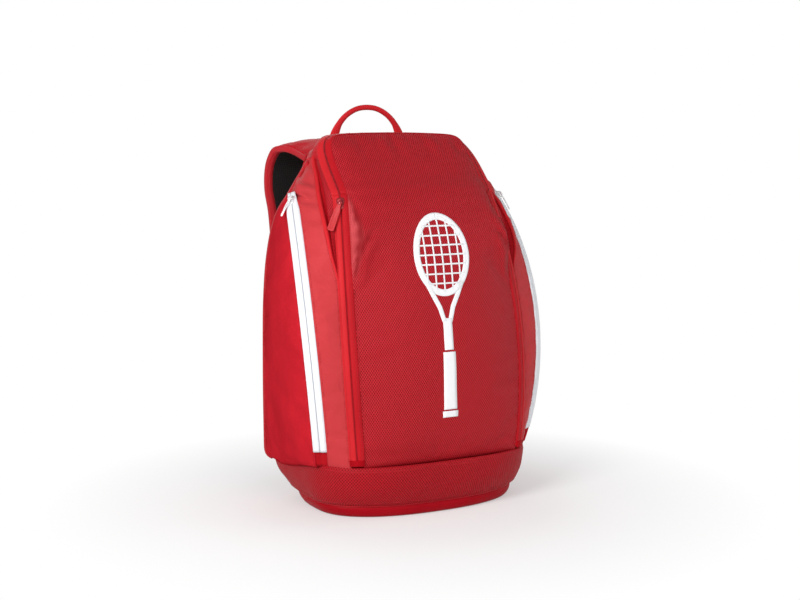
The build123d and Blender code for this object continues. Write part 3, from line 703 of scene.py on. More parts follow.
def apply_all(piece):
    graph = bpy.context.evaluated_depsgraph_get()
    mesh = bpy.data.meshes.new_from_object(
        piece.evaluated_get(graph), preserve_all_data_layers=True, depsgraph=graph)
    old = piece.data
    piece.modifiers.clear()
    piece.data = mesh
    bpy.data.meshes.remove(old)


def subdivide(piece):
    modifier = piece.modifiers.new("sub", "SUBSURF")
    modifier.levels = modifier.render_levels = 1
    apply_all(piece)


def soft_box(name, origin, axes, box, mat, radius):
    """Box with rounded edges; box holds the low and high end along each axis."""
    u, v, n = axes
    verts = [origin + u * a + v * b + n * c
             for a in box[0:2] for b in box[2:4] for c in box[4:6]]
    faces = [(0, 1, 3, 2), (4, 6, 7, 5), (0, 4, 5, 1), (2, 3, 7, 6), (0, 2, 6, 4), (1, 5, 7, 3)]
    piece = make(name, verts, faces, [(0, 0)] * 8, mat, rounded=False)
    bevel = piece.modifiers.new("bev", "BEVEL")
    bevel.width = radius * 0.001
    bevel.segments = 3
    bevel.limit_method = "NONE"
    apply_all(piece)
    shade_smooth(piece.data)
    return piece


def puff(piece, pressure, limit, shrink, rings, stiffness=14.0):
    """Inflates a padded panel by up to limit mm with its edge rows held."""
    frames = 20
    cols, rows = int(piece["nu"]), int(piece["nv"])
    back = cols * rows
    rim = [j * cols + i for j in range(rows) for i in range(cols)
           if min(j, rows - 1 - j, i, cols - 1 - i) < rings]
    piece.vertex_groups.new(name="hold").add(rim + [back + k for k in rim], 1.0, "REPLACE")
    rest = read_points(piece.data).astype(float)
    cloth = piece.modifiers.new("cloth", "CLOTH")
    settings = dict(
        quality=6, mass=0.25, tension_stiffness=stiffness, compression_stiffness=stiffness,
        shear_stiffness=6.0, bending_stiffness=0.6, tension_damping=8.0,
        compression_damping=8.0, air_damping=2.0, use_pressure=True,
        uniform_pressure_force=pressure, shrink_min=shrink, vertex_group_mass="hold")
    for key, value in settings.items():
        setattr(cloth.settings, key, value)
    cloth.settings.effector_weights.gravity = 0.0
    cloth.collision_settings.use_collision = False
    cloth.point_cache.frame_start, cloth.point_cache.frame_end = 1, frames
    for k in range(1, frames + 1):
        scene.frame_set(k)
    graph = bpy.context.evaluated_depsgraph_get()
    moved = read_points(piece.evaluated_get(graph).data).astype(float) - rest
    piece.modifiers.clear()
    piece.vertex_groups.clear()
    scene.frame_set(1)
    # the move levels off at the limit, and the inner face moves less
    size = np.linalg.norm(moved, axis=1)
    most = limit * 0.001
    moved *= (most * np.tanh(size / most) / np.maximum(size, 1e-9))[:, None]
    moved[back:] *= 0.35
    write_points(piece.data, rest + moved)


def sag(y, z):
    """How far the lower seam of the bag hangs below its level line, towards the back."""
    return 17.0 * smooth(-58, 70, y) * smooth(22, 64, z) * (1 - smooth(76, 165, z))


def lower_with_sag(piece):
    points = read_points(piece.data)
    drops = [sag(y * 1000, z * 1000) for _, y, z in points]
    points[:, 2] -= np.array(drops, np.float32) * 0.001
    write_points(piece.data, points)


def wrinkled(grid, relief, edge):
    """Moves a grid outwards by relief(x, y, z) mm, fading at its borders."""
    normals = grid_normals(grid)
    rows, cols = grid.shape[:2]
    if (normals * (grid - np.array([0, 30, 0]))).reshape(-1, 3)[:, :2].sum() < 0:
        normals = -normals
    out = grid.copy()
    for j in range(rows):
        for i in range(cols):
            fade_u = min(i, cols - 1 - i) / max(cols * edge, 1)
            fade_v = min(j, rows - 1 - j) / max(rows * edge * 0.6, 1)
            out[j, i] += normals[j, i] * relief(*grid[j, i]) * min(1, fade_u) * min(1, fade_v)
    return out


# ============================================================ what each piece stands for
def place(piece, nodes, body="shell"):
    """Rides on a body and stands in for CAD nodes."""
    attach(piece, body)
    if nodes:
        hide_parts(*nodes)


def place_bent(piece, nodes):
    """Stands in for CAD nodes like place, but rides on no body: its points are baked into world
    space.
    """
    if nodes:
        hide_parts(*nodes)
    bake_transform(piece)


def to_right(name):
    return name.replace("_left", "_right") if "_left" in name else name.replace("_l_", "_r_")


def both(piece, nodes, slot, body="shell"):
    """Places a left piece and its mirror image."""
    other = mirrored(piece, to_right(piece.name))
    place(piece, nodes, body)
    place(other, [to_right(n) for n in nodes], to_right(body))


def both_bent(piece, nodes):
    other = mirrored(piece, to_right(piece.name))
    place_bent(piece, nodes)
    place_bent(other, [to_right(n) for n in nodes])


# ============================================================ zip lines
MAIN, SIDE = ZipArc(MAIN_ARC, MAIN_TILT), ZipArc(SIDE_ARC, SIDE_TILT)


def main_zip_frames():
    """Points, across and out vectors of the main zip: left side up, over, right side down."""
    points, across, out = MAIN.frames(np.linspace(MAIN.low, MAIN.top, 90))
    upper = catmull(UPPER, 90)
    rows = list(zip(upper, catmull(UPPER_ACROSS, 90), np.gradient(upper, axis=0)))[2:]
    tail = []
    for spot, wide, along in rows:
        along = unit(along)
        wide = unit(wide - (wide @ along) * along)
        tail.append(np.concatenate([spot, wide, np.cross(wide, along)]))
    half = np.vstack([np.hstack([points, across, out]), tail])
    whole = np.vstack([half, half[-2::-1] * np.array([-1, 1, 1.0] * 3)])
    even = resample(whole, step=3.0)
    points, across, out = gauss(even[:, 0:3], 1.6), *np.hsplit(gauss(even[:, 3:9], 4.0), 2)
    along = tangents(points)
    across = square_to(across, along)
    side = np.sign((np.cross(across, along) * out).sum(1))[:, None]
    return points, across, np.cross(across, along) * side


ZIP, ZIP_ACROSS, ZIP_OUT = main_zip_frames()
TAPE_REACH = HALF_GAP + TAPE_WIDTH - 1.6
FLAP_EDGE = ZIP - ZIP_ACROSS * TAPE_REACH - ZIP_OUT * 1.0
SHELL_EDGE = ZIP + ZIP_ACROSS * TAPE_REACH - ZIP_OUT * 1.0
left_half = slice(0, len(ZIP) // 2 + 1)
FLAP_EDGE_LEFT, SHELL_EDGE_LEFT = rising(FLAP_EDGE[left_half]), rising(SHELL_EDGE[left_half])

# Share of the pocket tape's width left at its top end, where it runs under the binding
FRONT_TAPER, REAR_TAPER = 0.70, 0.45


def zip_top(z, least):
    return 1 - (1 - least) * smooth(384, 412, z)


POCKET, POCKET_ACROSS, POCKET_OUT = SIDE.frames(np.linspace(SIDE.top, SIDE.low, 90))
FRONT_WIDTHS = zip_top(POCKET[:, 2], FRONT_TAPER)
REAR_WIDTHS = zip_top(POCKET[:, 2], REAR_TAPER)


def pocket_borders():
    """Panel borders in front of and behind the pocket zip, run on past both its ends."""
    points, across, out = SIDE.frames(
        np.linspace(SIDE.top - SIDE.span * 0.1, SIDE.low + SIDE.span * 0.16, 140))
    reach, z = HALF_GAP + POCKET_TAPE_WIDTH - 0.8, points[:, 2:3]
    return (rising(points - across * (reach * zip_top(z, FRONT_TAPER)) - out * 0.5),
            rising(points + across * (reach * zip_top(z, REAR_TAPER)) - out * 0.5))


POCKET_FRONT, POCKET_REAR = pocket_borders()

# ============================================================ front flap
FLAP_HEIGHTS = np.concatenate([
    np.arange(70.5, 460, 5.0), np.arange(461.0, 479, 3.0), [479.5, 481.5, 483.2, 484.4]])
FLAP_TOP = 484.4
INSIDE_FLAP = (0, 60, 270)


def crease_depth(z):
    """How far the border crease stands in front of the zip edge."""
    return np.interp(z, [69, 292, 318, 335, 355, 372, 395, 412, 440, 470, 485],
                     [0.6, 0.8, 10, 20, 27, 24, 14, 8.5, 6, 4, 1.5])


def crease_inset(z):
    """How far the border crease lies in from the zip edge."""
    return np.interp(z, [69, 292, 318, 355, 395, 412, 470, 485], [0.9, 1.0, 2.5, 5, 6, 5, 3, 1.5])


def bulge(z):
    """How far the middle of the flap stands in front of the zip edge."""
    return pchip([69, 120, 200, 280, 330, 370, 415, 450, 470, 486],
                 [9, 16, 20, 24, 29, 30, 20, 12, 7.5, 2.5], z)


def flap_point(x, z):
    """Outer surface of the flap, before its folds."""
    edge = on(FLAP_EDGE_LEFT, z)
    half, inset, depth = -edge[0], crease_inset(z), crease_depth(z)
    crease_x = half - inset
    if abs(x) >= crease_x:
        f = np.clip((half - abs(x)) / inset, 0, 1)
        forward = depth * f
        if depth > 5:
            forward += 2.2 * math.sin(math.pi * f) * (depth / 27)
    else:
        forward = depth + (bulge(z) - depth) * (1 - (abs(x) / crease_x) ** 2.5)
    return np.array([x, edge[1] - forward, z])


FOLD_LINE = [(-114.0, 304.0), (-110.5, 332.0), (-104.5, 346.0), (-97.0, 357.0), (-88.0, 364.0)]


def flap_relief(x, z):
    """Soft folds of the flap, in mm outwards."""
    relief = 0.9 * soft_noise((x, 0, z), 75.0, 3.0) + 0.35 * soft_noise((x, 0, z), 26.0, 9.0)
    side_x = -abs(x)
    away = line_distance((side_x, z), FOLD_LINE)
    fade = 1 - smooth(-92, -84, side_x)
    relief += fade * (-4.4 * math.exp(-(away / 3.0) ** 2)
                      + 2.0 * math.exp(-((away - 7.5) / 4.0) ** 2))
    # puckers under the top seam
    pucker = 1.5 * math.sin(x / 7.3 + 0.9 * math.sin(x / 19.0)) + 0.8 * math.sin(x / 3.9 + 1.7)
    relief += pucker * smooth(440, 474, z) * (1 - smooth(477, 485, z))
    # soft horizontal roll across the upper face, and a sag above the base
    relief += (1.9 * math.exp(-((z - 404 - 0.06 * x) / 11.0) ** 2)
               - 2.2 * math.exp(-((z - 428 - 0.04 * x) / 10.0) ** 2))
    relief -= (1.3 * math.exp(-((z - 88 - 4 * math.sin(x / 40)) / 9.0) ** 2)
               * (1 - (x / 120) ** 2))
    return relief


def flap_grid():
    border_cols, middle_cols = 5, 47
    top = FLAP_EDGE[np.abs(FLAP_EDGE[:, 0]) < 90]
    top = top[top[:, 2] > 470]
    top = top[np.argsort(top[:, 0])]
    top_y = on(FLAP_EDGE_LEFT, FLAP_TOP)[1]
    t = np.linspace(0, 1, border_cols + 1)
    rows = []
    for z in FLAP_HEIGHTS:
        half = -on(FLAP_EDGE_LEFT, z)[0]
        crease_x = half - crease_inset(z)
        xs = np.concatenate([-(half - (half - crease_x) * t)[:-1],
                             np.linspace(-crease_x, crease_x, middle_cols),
                             (crease_x + (half - crease_x) * t)[1:]])
        row = []
        for x in xs:
            spot = flap_point(x, z)
            fade = min(1.0, (z - 70.5) / 8.0) * (1 - smooth(478, FLAP_TOP, z))
            spot[1] -= flap_relief(x, z) * (1 - (abs(x) / half) ** 14) * fade
            near_top = smooth(470, FLAP_TOP, z)
            if near_top > 0:
                spot[2] += (np.interp(x, top[:, 0], top[:, 2]) - FLAP_TOP) * near_top
                spot[1] += (np.interp(x, top[:, 0], top[:, 1]) - top_y) * near_top
            row.append(spot)
        rows.append(row)
    grid = np.array(rows)
    # the bottom row tucks under the seam with the cuff
    grid[0, :, 2] = 67.0
    grid[0, :, 1] += 2.6
    return grid


front = sheet("front_flap_cover", flap_grid(), 4.5, "panel", INSIDE_FLAP, inner_mat="lining")
puff(front, pressure=4.0, limit=3.5, shrink=-0.012, rings=2)

# Creases beside the narrow side facets of the flap, as (x, z); shade is painted along them, and a
# highlight on the facets they border
LONG_CREASE = [
    (-104.5, 411.0), (-102.1, 396.0), (-106.6, 364.5), (-110.2, 346.5), (-113.7, 309.0)]
SHORT_CREASE = [(-95.0, 358.0), (-98.7, 355.5), (-109.8, 336.0), (-113.7, 309.0)]


def mark_flap_facets():
    """Stores weights for a painted highlight on the side facets and for painted shade in the
    creases beside them.
    """
    points = read_points(front.data) * 1000.0
    # weights of the painted highlight on the side facets and of the painted shade along the
    # creases
    turned, pressed = np.zeros((2, len(points)), np.float32)
    crease_x, crease_z = np.array(LONG_CREASE[::-1]).T
    for i, (x, y, z) in enumerate(points):
        side_x = -abs(x)
        if 296 < z < 426 and side_x < -88:
            edge = np.interp(z, crease_z, crease_x)
            turned[i] = (smooth(edge + 1.5, edge - 1.5, side_x) * smooth(300, 330, z)
                         * (1 - smooth(404, 424, z)))
            near_long = math.exp(-(line_distance((side_x, z), LONG_CREASE) / 1.5) ** 2)
            near_short = 0.7 * math.exp(-(line_distance((side_x, z), SHORT_CREASE) / 1.6) ** 2)
            pressed[i] = (max(near_long, near_short) * smooth(300, 318, z)
                          * (1 - smooth(400, 416, z)))
    for name, weights in (("turned_side", turned), ("painted_crease_shade", pressed)):
        front.data.attributes.new(name, "FLOAT", "POINT").data.foreach_set("value", weights)


mark_flap_facets()

# ============================================================ main zip
LIP_SECTION = [(0.55, -1.5), (0.45, -0.3), (0.9, 0.75), (2.1, 1.35), (4.4, 1.5), (6.8, 1.15),
               (8.8, 0.45), (10.1, -0.7), (10.0, -1.9), (5.0, -1.9)]


def main_lip(name, side, mat):
    sections = scaled(LIP_SECTION, np.full(len(ZIP), side))
    wobble = [0.22 * noise.noise(Vector((t / 26.0, side * 3.0, 0.0)))
              for t in np.arange(len(ZIP)) * 3.0]
    sections[:, 1:8, 1] += np.array(wobble)[:, None]
    return tube(name, ZIP, ZIP_ACROSS, ZIP_OUT, sections, mat)


def main_coil(name, side):
    return tube(name, ZIP - ZIP_OUT * 0.75 + ZIP_ACROSS * (side * 0.62), ZIP_ACROSS, ZIP_OUT,
                oval(0.75, 0.9, 8), "coil")


flap_lip = main_lip("main_zip_lip_flap_side", -1, "inner lip")
shell_lip = main_lip("main_zip_lip_shell_side", 1, "zip")
shell_coil = main_coil("main_zip_coil", 1)
flap_coil = main_coil("main_zip_coil_flap", -1)

# a small flat box of folded tape covers each lower end of the zip
for side, k in (("left", 1), ("right", len(ZIP) - 2)):
    down = unit(np.cross(ZIP_ACROSS[k], ZIP_OUT[k]))
    if down[2] > 0:
        down = -down
    end_cover = tube(
        f"zip_end_cover_{side}", [ZIP[k] + down * t for t in (-5.5, -5.2, -4.5, 1.5, 3.0)],
        ZIP_ACROSS[k], ZIP_OUT[k],
        scaled([(-9.6, -0.4), (-9.6, 1.7), (9.6, 1.7), (9.6, -0.4)],
               wide=[0.97, 1, 1, 1, 0.97], thick=[0.8, 1, 1, 1, 0.8]), "dark")
    place(end_cover, [])


# ============================================================ sides of the bag
INSIDE_SIDE = (-20, 40, 250)
POCKET_LOW = 88                # height of the pocket zip's lower end


def front_seam(z):
    """Rear edge of the shell-side zip lip low down, outer piping seam higher up."""
    k = smooth(296, 342, z)
    seam = left(OUTER_SEAM, z) if z < 436 else on(OUTER_SEAM_TOP, z)
    return on(SHELL_EDGE_LEFT, min(z, 440)) * (1 - k) + seam * k


def rear_edge(z):
    return left(REAR_EDGE, z) if z <= 440 else on(REAR_EDGE_TOP, z)


def pocket_border(line, z):
    """Border beside the pocket zip, carried on straight below the zip's end."""
    if z >= POCKET_LOW:
        return on(line, z)
    low = on(line, POCKET_LOW)
    return low + (on(line, POCKET_LOW + 2) - low) / 2 * (z - POCKET_LOW)


def panel_rear_border(z):
    """Along the pocket zip, across its top end, then along the rear edge."""
    k = smooth(403.0, 412.0, z)
    return pocket_border(POCKET_FRONT, min(z, 411)) * (1 - k) + rear_edge(z) * k


def bow_row(start, end, amount, count, z, lean):
    """Row of points from start to end bowed outwards, fullest at lean of the way."""
    along = unit(end - start)
    outwards = np.array([-along[1], along[0]])
    if outwards @ (np.array([0.0, 30.0]) - (start + end) / 2) > 0:
        outwards = -outwards
    row = []
    for t in np.linspace(0, 1, count):
        k = math.sin(math.pi * t ** (math.log(0.5) / math.log(lean))) ** 0.8
        row.append(point(start + (end - start) * t + outwards * amount * k, z))
    return np.array(row)


def upper_row(start, z, count):
    """Row above the pocket zip: on along the panel's own plane, then to the rear edge."""
    high, low = on(POCKET_FRONT, 402.0), on(POCKET_FRONT, 394.0)
    middle, end = high + (high - low) / 8.0 * (z - 402.0) * 0.6, rear_edge(z)
    middle = middle + (start + (end - start) * 0.55 - middle) * smooth(402, 450, z)
    line = resample(catmull([start, (start + middle) / 2, middle, end], 60), count=count)
    return np.column_stack([line, np.full(count, z)])


def folds(y, z, table, hollow, spacing):
    """Ridges, each with a hollow above it."""
    total = 0.0
    for height, size, width, slope, centre in table:
        t = z - height - slope * (y - centre)
        total += (size * math.exp(-(t / width) ** 2)
                  - hollow * size * math.exp(-((t - spacing * width) / width) ** 2))
    return total


# Folds as (height, size, width, slope, y where the height holds)
FRONT_FOLDS = [
    (424, 1.5, 3.0, 0.38, -40), (413, 2.0, 3.0, 0.34, -40), (401, 2.0, 3.4, 0.30, -40),
    (388, 1.2, 3.6, 0.18, -40), (371, 1.4, 3.6, 0.05, -40), (332, 0.9, 6.0, 0.25, -40),
    (262, 0.8, 7.0, -0.2, -40), (205, 1.0, 7.0, 0.25, -40), (150, 0.8, 7.0, -0.1, -40),
    (112, 1.0, 6.0, 0.3, -40)]
REAR_FOLDS = [
    (300, 1.7, 12, -0.55, 30), (245, 1.8, 11, -0.5, 45), (215, 1.1, 8, -0.65, 10),
    (150, 1.5, 12, 0.35, 50), (110, 1.3, 9, 0.5, 60)]


def side_front_relief(x, y, z):
    return (0.5 * soft_noise((x, y, z), 60.0, 5.0)
            + 0.45 * soft_noise((x * 0.4, y * 0.4, z), 22.0, 2.0)
            + folds(y, z, FRONT_FOLDS, hollow=0.8, spacing=1.7))


def side_rear_relief(x, y, z):
    return (1.4 * soft_noise((x, y, z), 85.0, 15.0)
            + 0.6 * soft_noise((x * 0.4, y, z), 30.0, 12.0)
            + folds(y, z, REAR_FOLDS, hollow=0.85, spacing=1.6))


def side_front_grid():
    rows = []
    for z in np.concatenate([[66.0], np.arange(69.6, 398, 5.2), np.arange(399, 424, 1.7),
                             np.arange(425, 459, 3.2)]):
        start, end = front_seam(z), pocket_border(POCKET_FRONT, min(z, 411))
        row = bow_row(start, end, min(1.6, 0.05 * np.linalg.norm(end - start)), 19, z, 0.45)
        k = smooth(401.0, 413.0, z)
        rows.append(row * (1 - k) + upper_row(start, z, 19) * k if k > 0 else row)
    grid = np.array(rows)
    grid[0, :, 0] += 2.5
    grid[0, :, 1] += 1.5
    return wrinkled(grid, side_front_relief, 0.16)


def side_rear_grid():
    rows = []
    for z in np.concatenate([[66.0], np.arange(69.6, 385, 5.2), np.arange(387, 410, 3.2)]):
        start, end = pocket_border(POCKET_REAR, z), rear_edge(z) + np.array([0.0, -1.0])
        amount = (min(8.5, 0.075 * np.linalg.norm(end - start))
                  * np.interp(z, [69, 84, 120], [0.55, 0.7, 1.0]))
        rows.append(bow_row(start, end, amount, 34, z, 0.4))
    grid = np.array(rows)
    grid[0, :, 0] += 2.5
    return wrinkled(grid, side_rear_relief, 0.10)


side_front = sheet("side_front_cover_left", side_front_grid(), 3.0, "side", INSIDE_SIDE,
                   inner_mat="lining")
puff(side_front, pressure=3.0, limit=1.1, shrink=-0.010, rings=1, stiffness=12)
side_rear = sheet("side_rear_cover_left", side_rear_grid(), 3.0, "pocket", INSIDE_SIDE,
                  inner_mat="lining")
puff(side_rear, pressure=4.0, limit=4.0, shrink=-0.02, rings=1, stiffness=10)

# pocket zip: two white lips and a pale coil
POCKET_LIP = [(0.45, -1.2), (0.4, 0.35), (1.0, 0.8), (4.4, 1.0), (8.0, 0.7), (8.9, -0.2),
              (8.8, -1.5)]
rear_lip = tube("pocket_zip_lip_rear_left", POCKET, POCKET_ACROSS, POCKET_OUT,
                scaled(POCKET_LIP, REAR_WIDTHS), "white")
front_lip = tube("pocket_zip_lip_front_left", POCKET, POCKET_ACROSS, POCKET_OUT,
                 scaled(POCKET_LIP, -FRONT_WIDTHS), "white")
pocket_coil = tube("pocket_zip_coil_left", POCKET - POCKET_OUT * 0.75, POCKET_ACROSS,
                   POCKET_OUT, oval(1.3, 0.7, 8), "pale coil")
# recess below the lower end of the pocket zip
recess_frames = SIDE.frames(SIDE.low + SIDE.span * np.linspace(-0.012, 0.062, 9))
RECESS_PROFILE = [(-9.8, -0.4), (-7.6, -2.4), (-1.2, -3.0), (0, -3.9), (1.2, -3.0),
                  (7.6, -2.4), (9.8, -0.4)]
recess = sheet("pocket_zip_recess_left", swept(*recess_frames, RECESS_PROFILE), 1.4, "recess",
               INSIDE_SIDE)


def rear_binding():
    """Folded band over the rear edge, from the base to the shoulder."""
    foot = rear_edge(70)
    heights = np.concatenate([np.arange(70, 400, 6), np.arange(402, 452, 3.5)])
    path = [point(foot + np.array([5.0, -11.0]), 64.0),
            point(foot + np.array([1.5, -4.0]), 65.8)]
    path += [point(rear_edge(z) + np.array([-0.3, 0.2]), z) for z in heights]
    path = gauss(resample(path, step=4.0), 1.2)
    width = np.interp(path[:, 2], [70, 260, 330, 390, 425, 450],
                      [0.7, 0.75, 1.25, 1.5, 1.45, 1.1])
    return tube("rear_binding_band_left", path, *frames_along(path, (-1.0, 0.25, 0.1)),
                scaled(oval(4.0, 2.3, 12, 2.4), width), "bind")


binding = rear_binding()


def shoulder_pieces():
    """Textured gusset strip, the trough beside it and the piping seam outside it."""
    gusset_share = 0.60        # of the width from the zip to the piping
    inwards = unit(np.array([0.75, 0.45, -0.15]))
    piping, gusset_rows, trough_rows = [], [], []
    for z in np.concatenate([np.arange(297, 452, 5.0), [452.0, 455.0, 458.0]]):
        start = point(on(SHELL_EDGE_LEFT, z), z)
        end = point(front_seam(z) + unit(np.array([-0.88, 0.47])) * 0.3, z)
        piping.append(end)
        width = np.linalg.norm(end - start)
        across = (end - start) / max(width, 1e-6)
        depth = min(5.5, 0.32 * width) * (1 - 0.75 * smooth(398, 440, z))
        gusset_rows.append([
            start + across * width * f
            - inwards * 0.9 * math.sin(math.pi * min(1, f / gusset_share)) + inwards * 0.8
            for f in np.linspace(-0.02, gusset_share, 7)])
        split = start + across * width * gusset_share
        trough_rows.append([
            split + inwards * 0.9, split + across * width * 0.07 + inwards * depth * 0.9,
            split + across * width * 0.2 + inwards * depth,
            split + across * width * 0.34 + inwards * depth * 0.5, end + inwards * 0.5])
    gusset = sheet("shoulder_gusset_left", gusset_rows, 1.8, "panel", (0, 60, 300))
    trough = sheet("shoulder_trough_left", trough_rows, 1.4, "recess", (0, 60, 300))
    path = gauss(resample(piping, step=3.5), 1.5)
    size = np.interp(path[:, 2], [297, 330, 360, 385, 457], [0.3, 0.6, 0.85, 1.0, 1.0])
    pipe = tube("shoulder_piping_left", path, *frames_along(path, (-0.8, -0.5, 0.3)),
                scaled(oval(2.9, 2.5, 12), size, size), "zip")
    return gusset, trough, pipe


gusset, trough, pipe = shoulder_pieces()


# ============================================================ back, top and yoke
def back_row(z):
    z_in = min(z, 464)
    edge = left(REAR_EDGE, z_in) if z_in < 440 else on(BACK_EDGE_TOP, z_in)
    middle, centre = left(BACK_MID, z_in), left(BACK_CENTRE, z_in)
    half = [edge, edge + (middle - edge) * 0.5, middle,
            (middle + centre) / 2 + np.array([0, 0.6])]
    points = half + [centre] + [q * np.array([-1, 1]) for q in half[::-1]]
    return [(x, y, z) for x, y in resample(catmull(points, 160), count=45)]


def back_grid():
    heights = np.concatenate([np.arange(69.6, 460, 6.0), [463, 466.5, 469.0]])
    grid = np.array([back_row(z) for z in heights])
    for j, z in enumerate(heights):
        if z > 464:
            grid[j, :, 1] -= (z - 464) * 0.9
            grid[j, :, 2] -= (np.abs(grid[j, :, 0]) / 100.0) ** 2 * (z - 464) * 2.0
    return wrinkled(grid, lambda x, y, z: 0.7 * soft_noise((x, y, z), 60, 31.0), 0.08)


back = sheet("back_panel_cover", back_grid(), 3.6, "smooth", (0, 0, 250), inner_mat="lining")

over_top = (SHELL_EDGE[:, 2] > 449) | (np.abs(SHELL_EDGE[:, 0]) < 60)
TOP_FRONT = resample(SHELL_EDGE[over_top] + ZIP_OUT[over_top] * -0.4, count=61)
TOP_REAR_POINTS = [
    (-115, 52, 450), (-106, 66, 457.5), (-92, 82, 464), (-66, 98, 468.5), (-33, 107, 470.5),
    (0, 110, 471), (33, 107, 470.5), (66, 98, 468.5), (92, 82, 464), (106, 66, 457.5),
    (115, 52, 450)]
TOP_REAR = resample(catmull(TOP_REAR_POINTS, 200), count=61)


def top_grid():
    grid = np.array([TOP_FRONT * (1 - t) + TOP_REAR * t
                     + np.array([0, 0, 1.0]) * (5.0 * math.sin(math.pi * t) ** 0.9)
                     for t in np.linspace(0, 1, 15)])
    for j, row in enumerate(grid):
        fade = math.sin(math.pi * j / (len(grid) - 1))
        for spot in row:
            spot[2] += fade * (0.9 * soft_noise(spot, 38.0, 7.0) + 0.5 * math.sin(spot[0] / 9.0))
    return grid


top = sheet("top_cover", top_grid(), 3.0, "smooth", (0, 60, 300), inner_mat="lining")
puff(top, pressure=4.0, limit=2.5, shrink=-0.012, rings=1, stiffness=12)

# seam roll between the top cover and the back
roll_size = np.interp(np.abs(TOP_REAR[:, 0]), [78, 98, 114], [1.0, 1.9, 2.2])
top_roll = tube("top_back_seam_roll", gauss(TOP_REAR, 1.0),
                *frames_along(TOP_REAR, (0, 0.4, 0.9)),
                scaled(oval(2.4, 2.4, 12), roll_size, roll_size), "bind")

# Yoke behind the strap ends: distance from the middle, y, top z, low z
YOKE = np.array([(0, 117.0, 467.0, 440.0), (45, 113.5, 466.0, 438.0), (70, 107.0, 463.0, 432.0),
                 (90, 97.5, 457.0, 431.0), (108, 82.0, 449.0, 434.0)])


def yoke_column(x):
    y, high, low = (np.interp(abs(x), YOKE[:, 0], YOKE[:, k]) for k in (1, 2, 3))
    column = []
    for f in np.linspace(0, 1, 9):
        z = high + (low - high) * f
        column.append((x, y + 0.2 * (high - z) + 4.4 + 2.0 * math.sin(math.pi * f), z))
    return column


yoke_grid = np.array([yoke_column(x) for x in np.linspace(-108, 108, 55)]).transpose(1, 0, 2)
yoke = sheet("strap_yoke_cover", yoke_grid, 6.0, "smooth", (0, 0, 450))
puff(yoke, pressure=4.0, limit=1.5, shrink=-0.01, rings=1)


# ============================================================ base
def base_outline(z):
    count = 168
    z = min(max(z, 0.0), 70.0)
    centre, half, front_reach, rear_reach, front_power, rear_power = (
        np.interp(z, BASE_LOOPS[:, 0], BASE_LOOPS[:, k]) for k in range(1, 7))
    points = []
    for k in range(count):
        angle = 2 * math.pi * k / count
        ahead = math.sin(angle) < 0
        x, y = squarish(angle, half, front_reach if ahead else rear_reach,
                        front_power if ahead else rear_power)
        points.append((x, centre + y))
    return resample(points + points[:1], count=count + 1)[:-1]


def base_ring(name, profile, mat, ripple=None):
    """Closed profile [(z of outline, outward offset, z)] round the base.

    ripple: (size, scale, seed) of the unevenness of its outer rows."""
    rings = []
    for z, offset, height in profile:
        outline = base_outline(z)
        along = tangents(outline, closed=True)
        normals = np.stack([along[:, 1], -along[:, 0]], 1)
        if ripple and offset > -3:
            size, scale, seed = ripple
            offset = offset + np.array([[size * soft_noise((x, y, z), scale, seed)]
                                        for x, y in outline])
        rings.append(np.column_stack([outline + normals * offset,
                                      np.full(len(outline), height)]))
    rings = np.array(rings)
    rows, cols = rings.shape[:2]
    gaps = [np.linalg.norm(rings[j + 1] - rings[j], axis=1).mean() for j in range(rows - 1)]
    up = np.concatenate([[0], np.cumsum(gaps)])
    uv = np.stack([np.tile(lengths(rings[0]), rows), np.repeat(up, cols)], 1) * 0.001
    return make(name, rings.reshape(-1, 3), ring_faces(rows, cols, True), uv, mat)


CUFF_PROFILE = [
    (15, -4.5, 15.2), (15, -0.6, 14.8), (16.5, 0.9, 16.6), (20, 1.9, 20), (25, 2.6, 25),
    (31, 3.1, 31), (37, 3.3, 37), (43, 3.3, 43), (49, 3.1, 49), (54, 2.9, 54), (59, 2.6, 59),
    (63, 2.2, 63), (66.5, 1.3, 66.8), (68.8, -0.2, 69.2), (69.6, -2.2, 70.3),
    (69.6, -4.4, 69.0), (69.6, -7.5, 67.6), (69.6, -13.0, 67.0), (69.6, -13.0, 65.6),
    (69.6, -6.5, 65.6), (60, -2.0, 60), (40, -1.5, 40), (24, -2.6, 24)]
RIM_PROFILE = [
    (0, -9.0, 0.3), (0, -3.0, 0.0), (0, -0.8, 0.8), (3, 0.6, 3.0), (6.5, 1.5, 6.5),
    (10, 1.5, 10.0), (13, 0.7, 13.0), (14.6, -0.8, 14.9), (14.8, -4.5, 15.0), (9, -7.0, 9.0)]
SEAM_PROFILE = [(15, -0.6 + 1.25 * math.cos(a), 15.1 + 1.0 * math.sin(a))
                for a in np.linspace(0, 2 * math.pi, 9)[:-1]]
cuff = base_ring("base_cuff_cover", CUFF_PROFILE, "cuff", ripple=(0.9, 48.0, 21.0))
rim = base_ring("base_rim_cover", RIM_PROFILE, "rim", ripple=(0.3, 40.0, 28.0))
seam_ring = base_ring("base_seam_piping", SEAM_PROFILE, "bind")


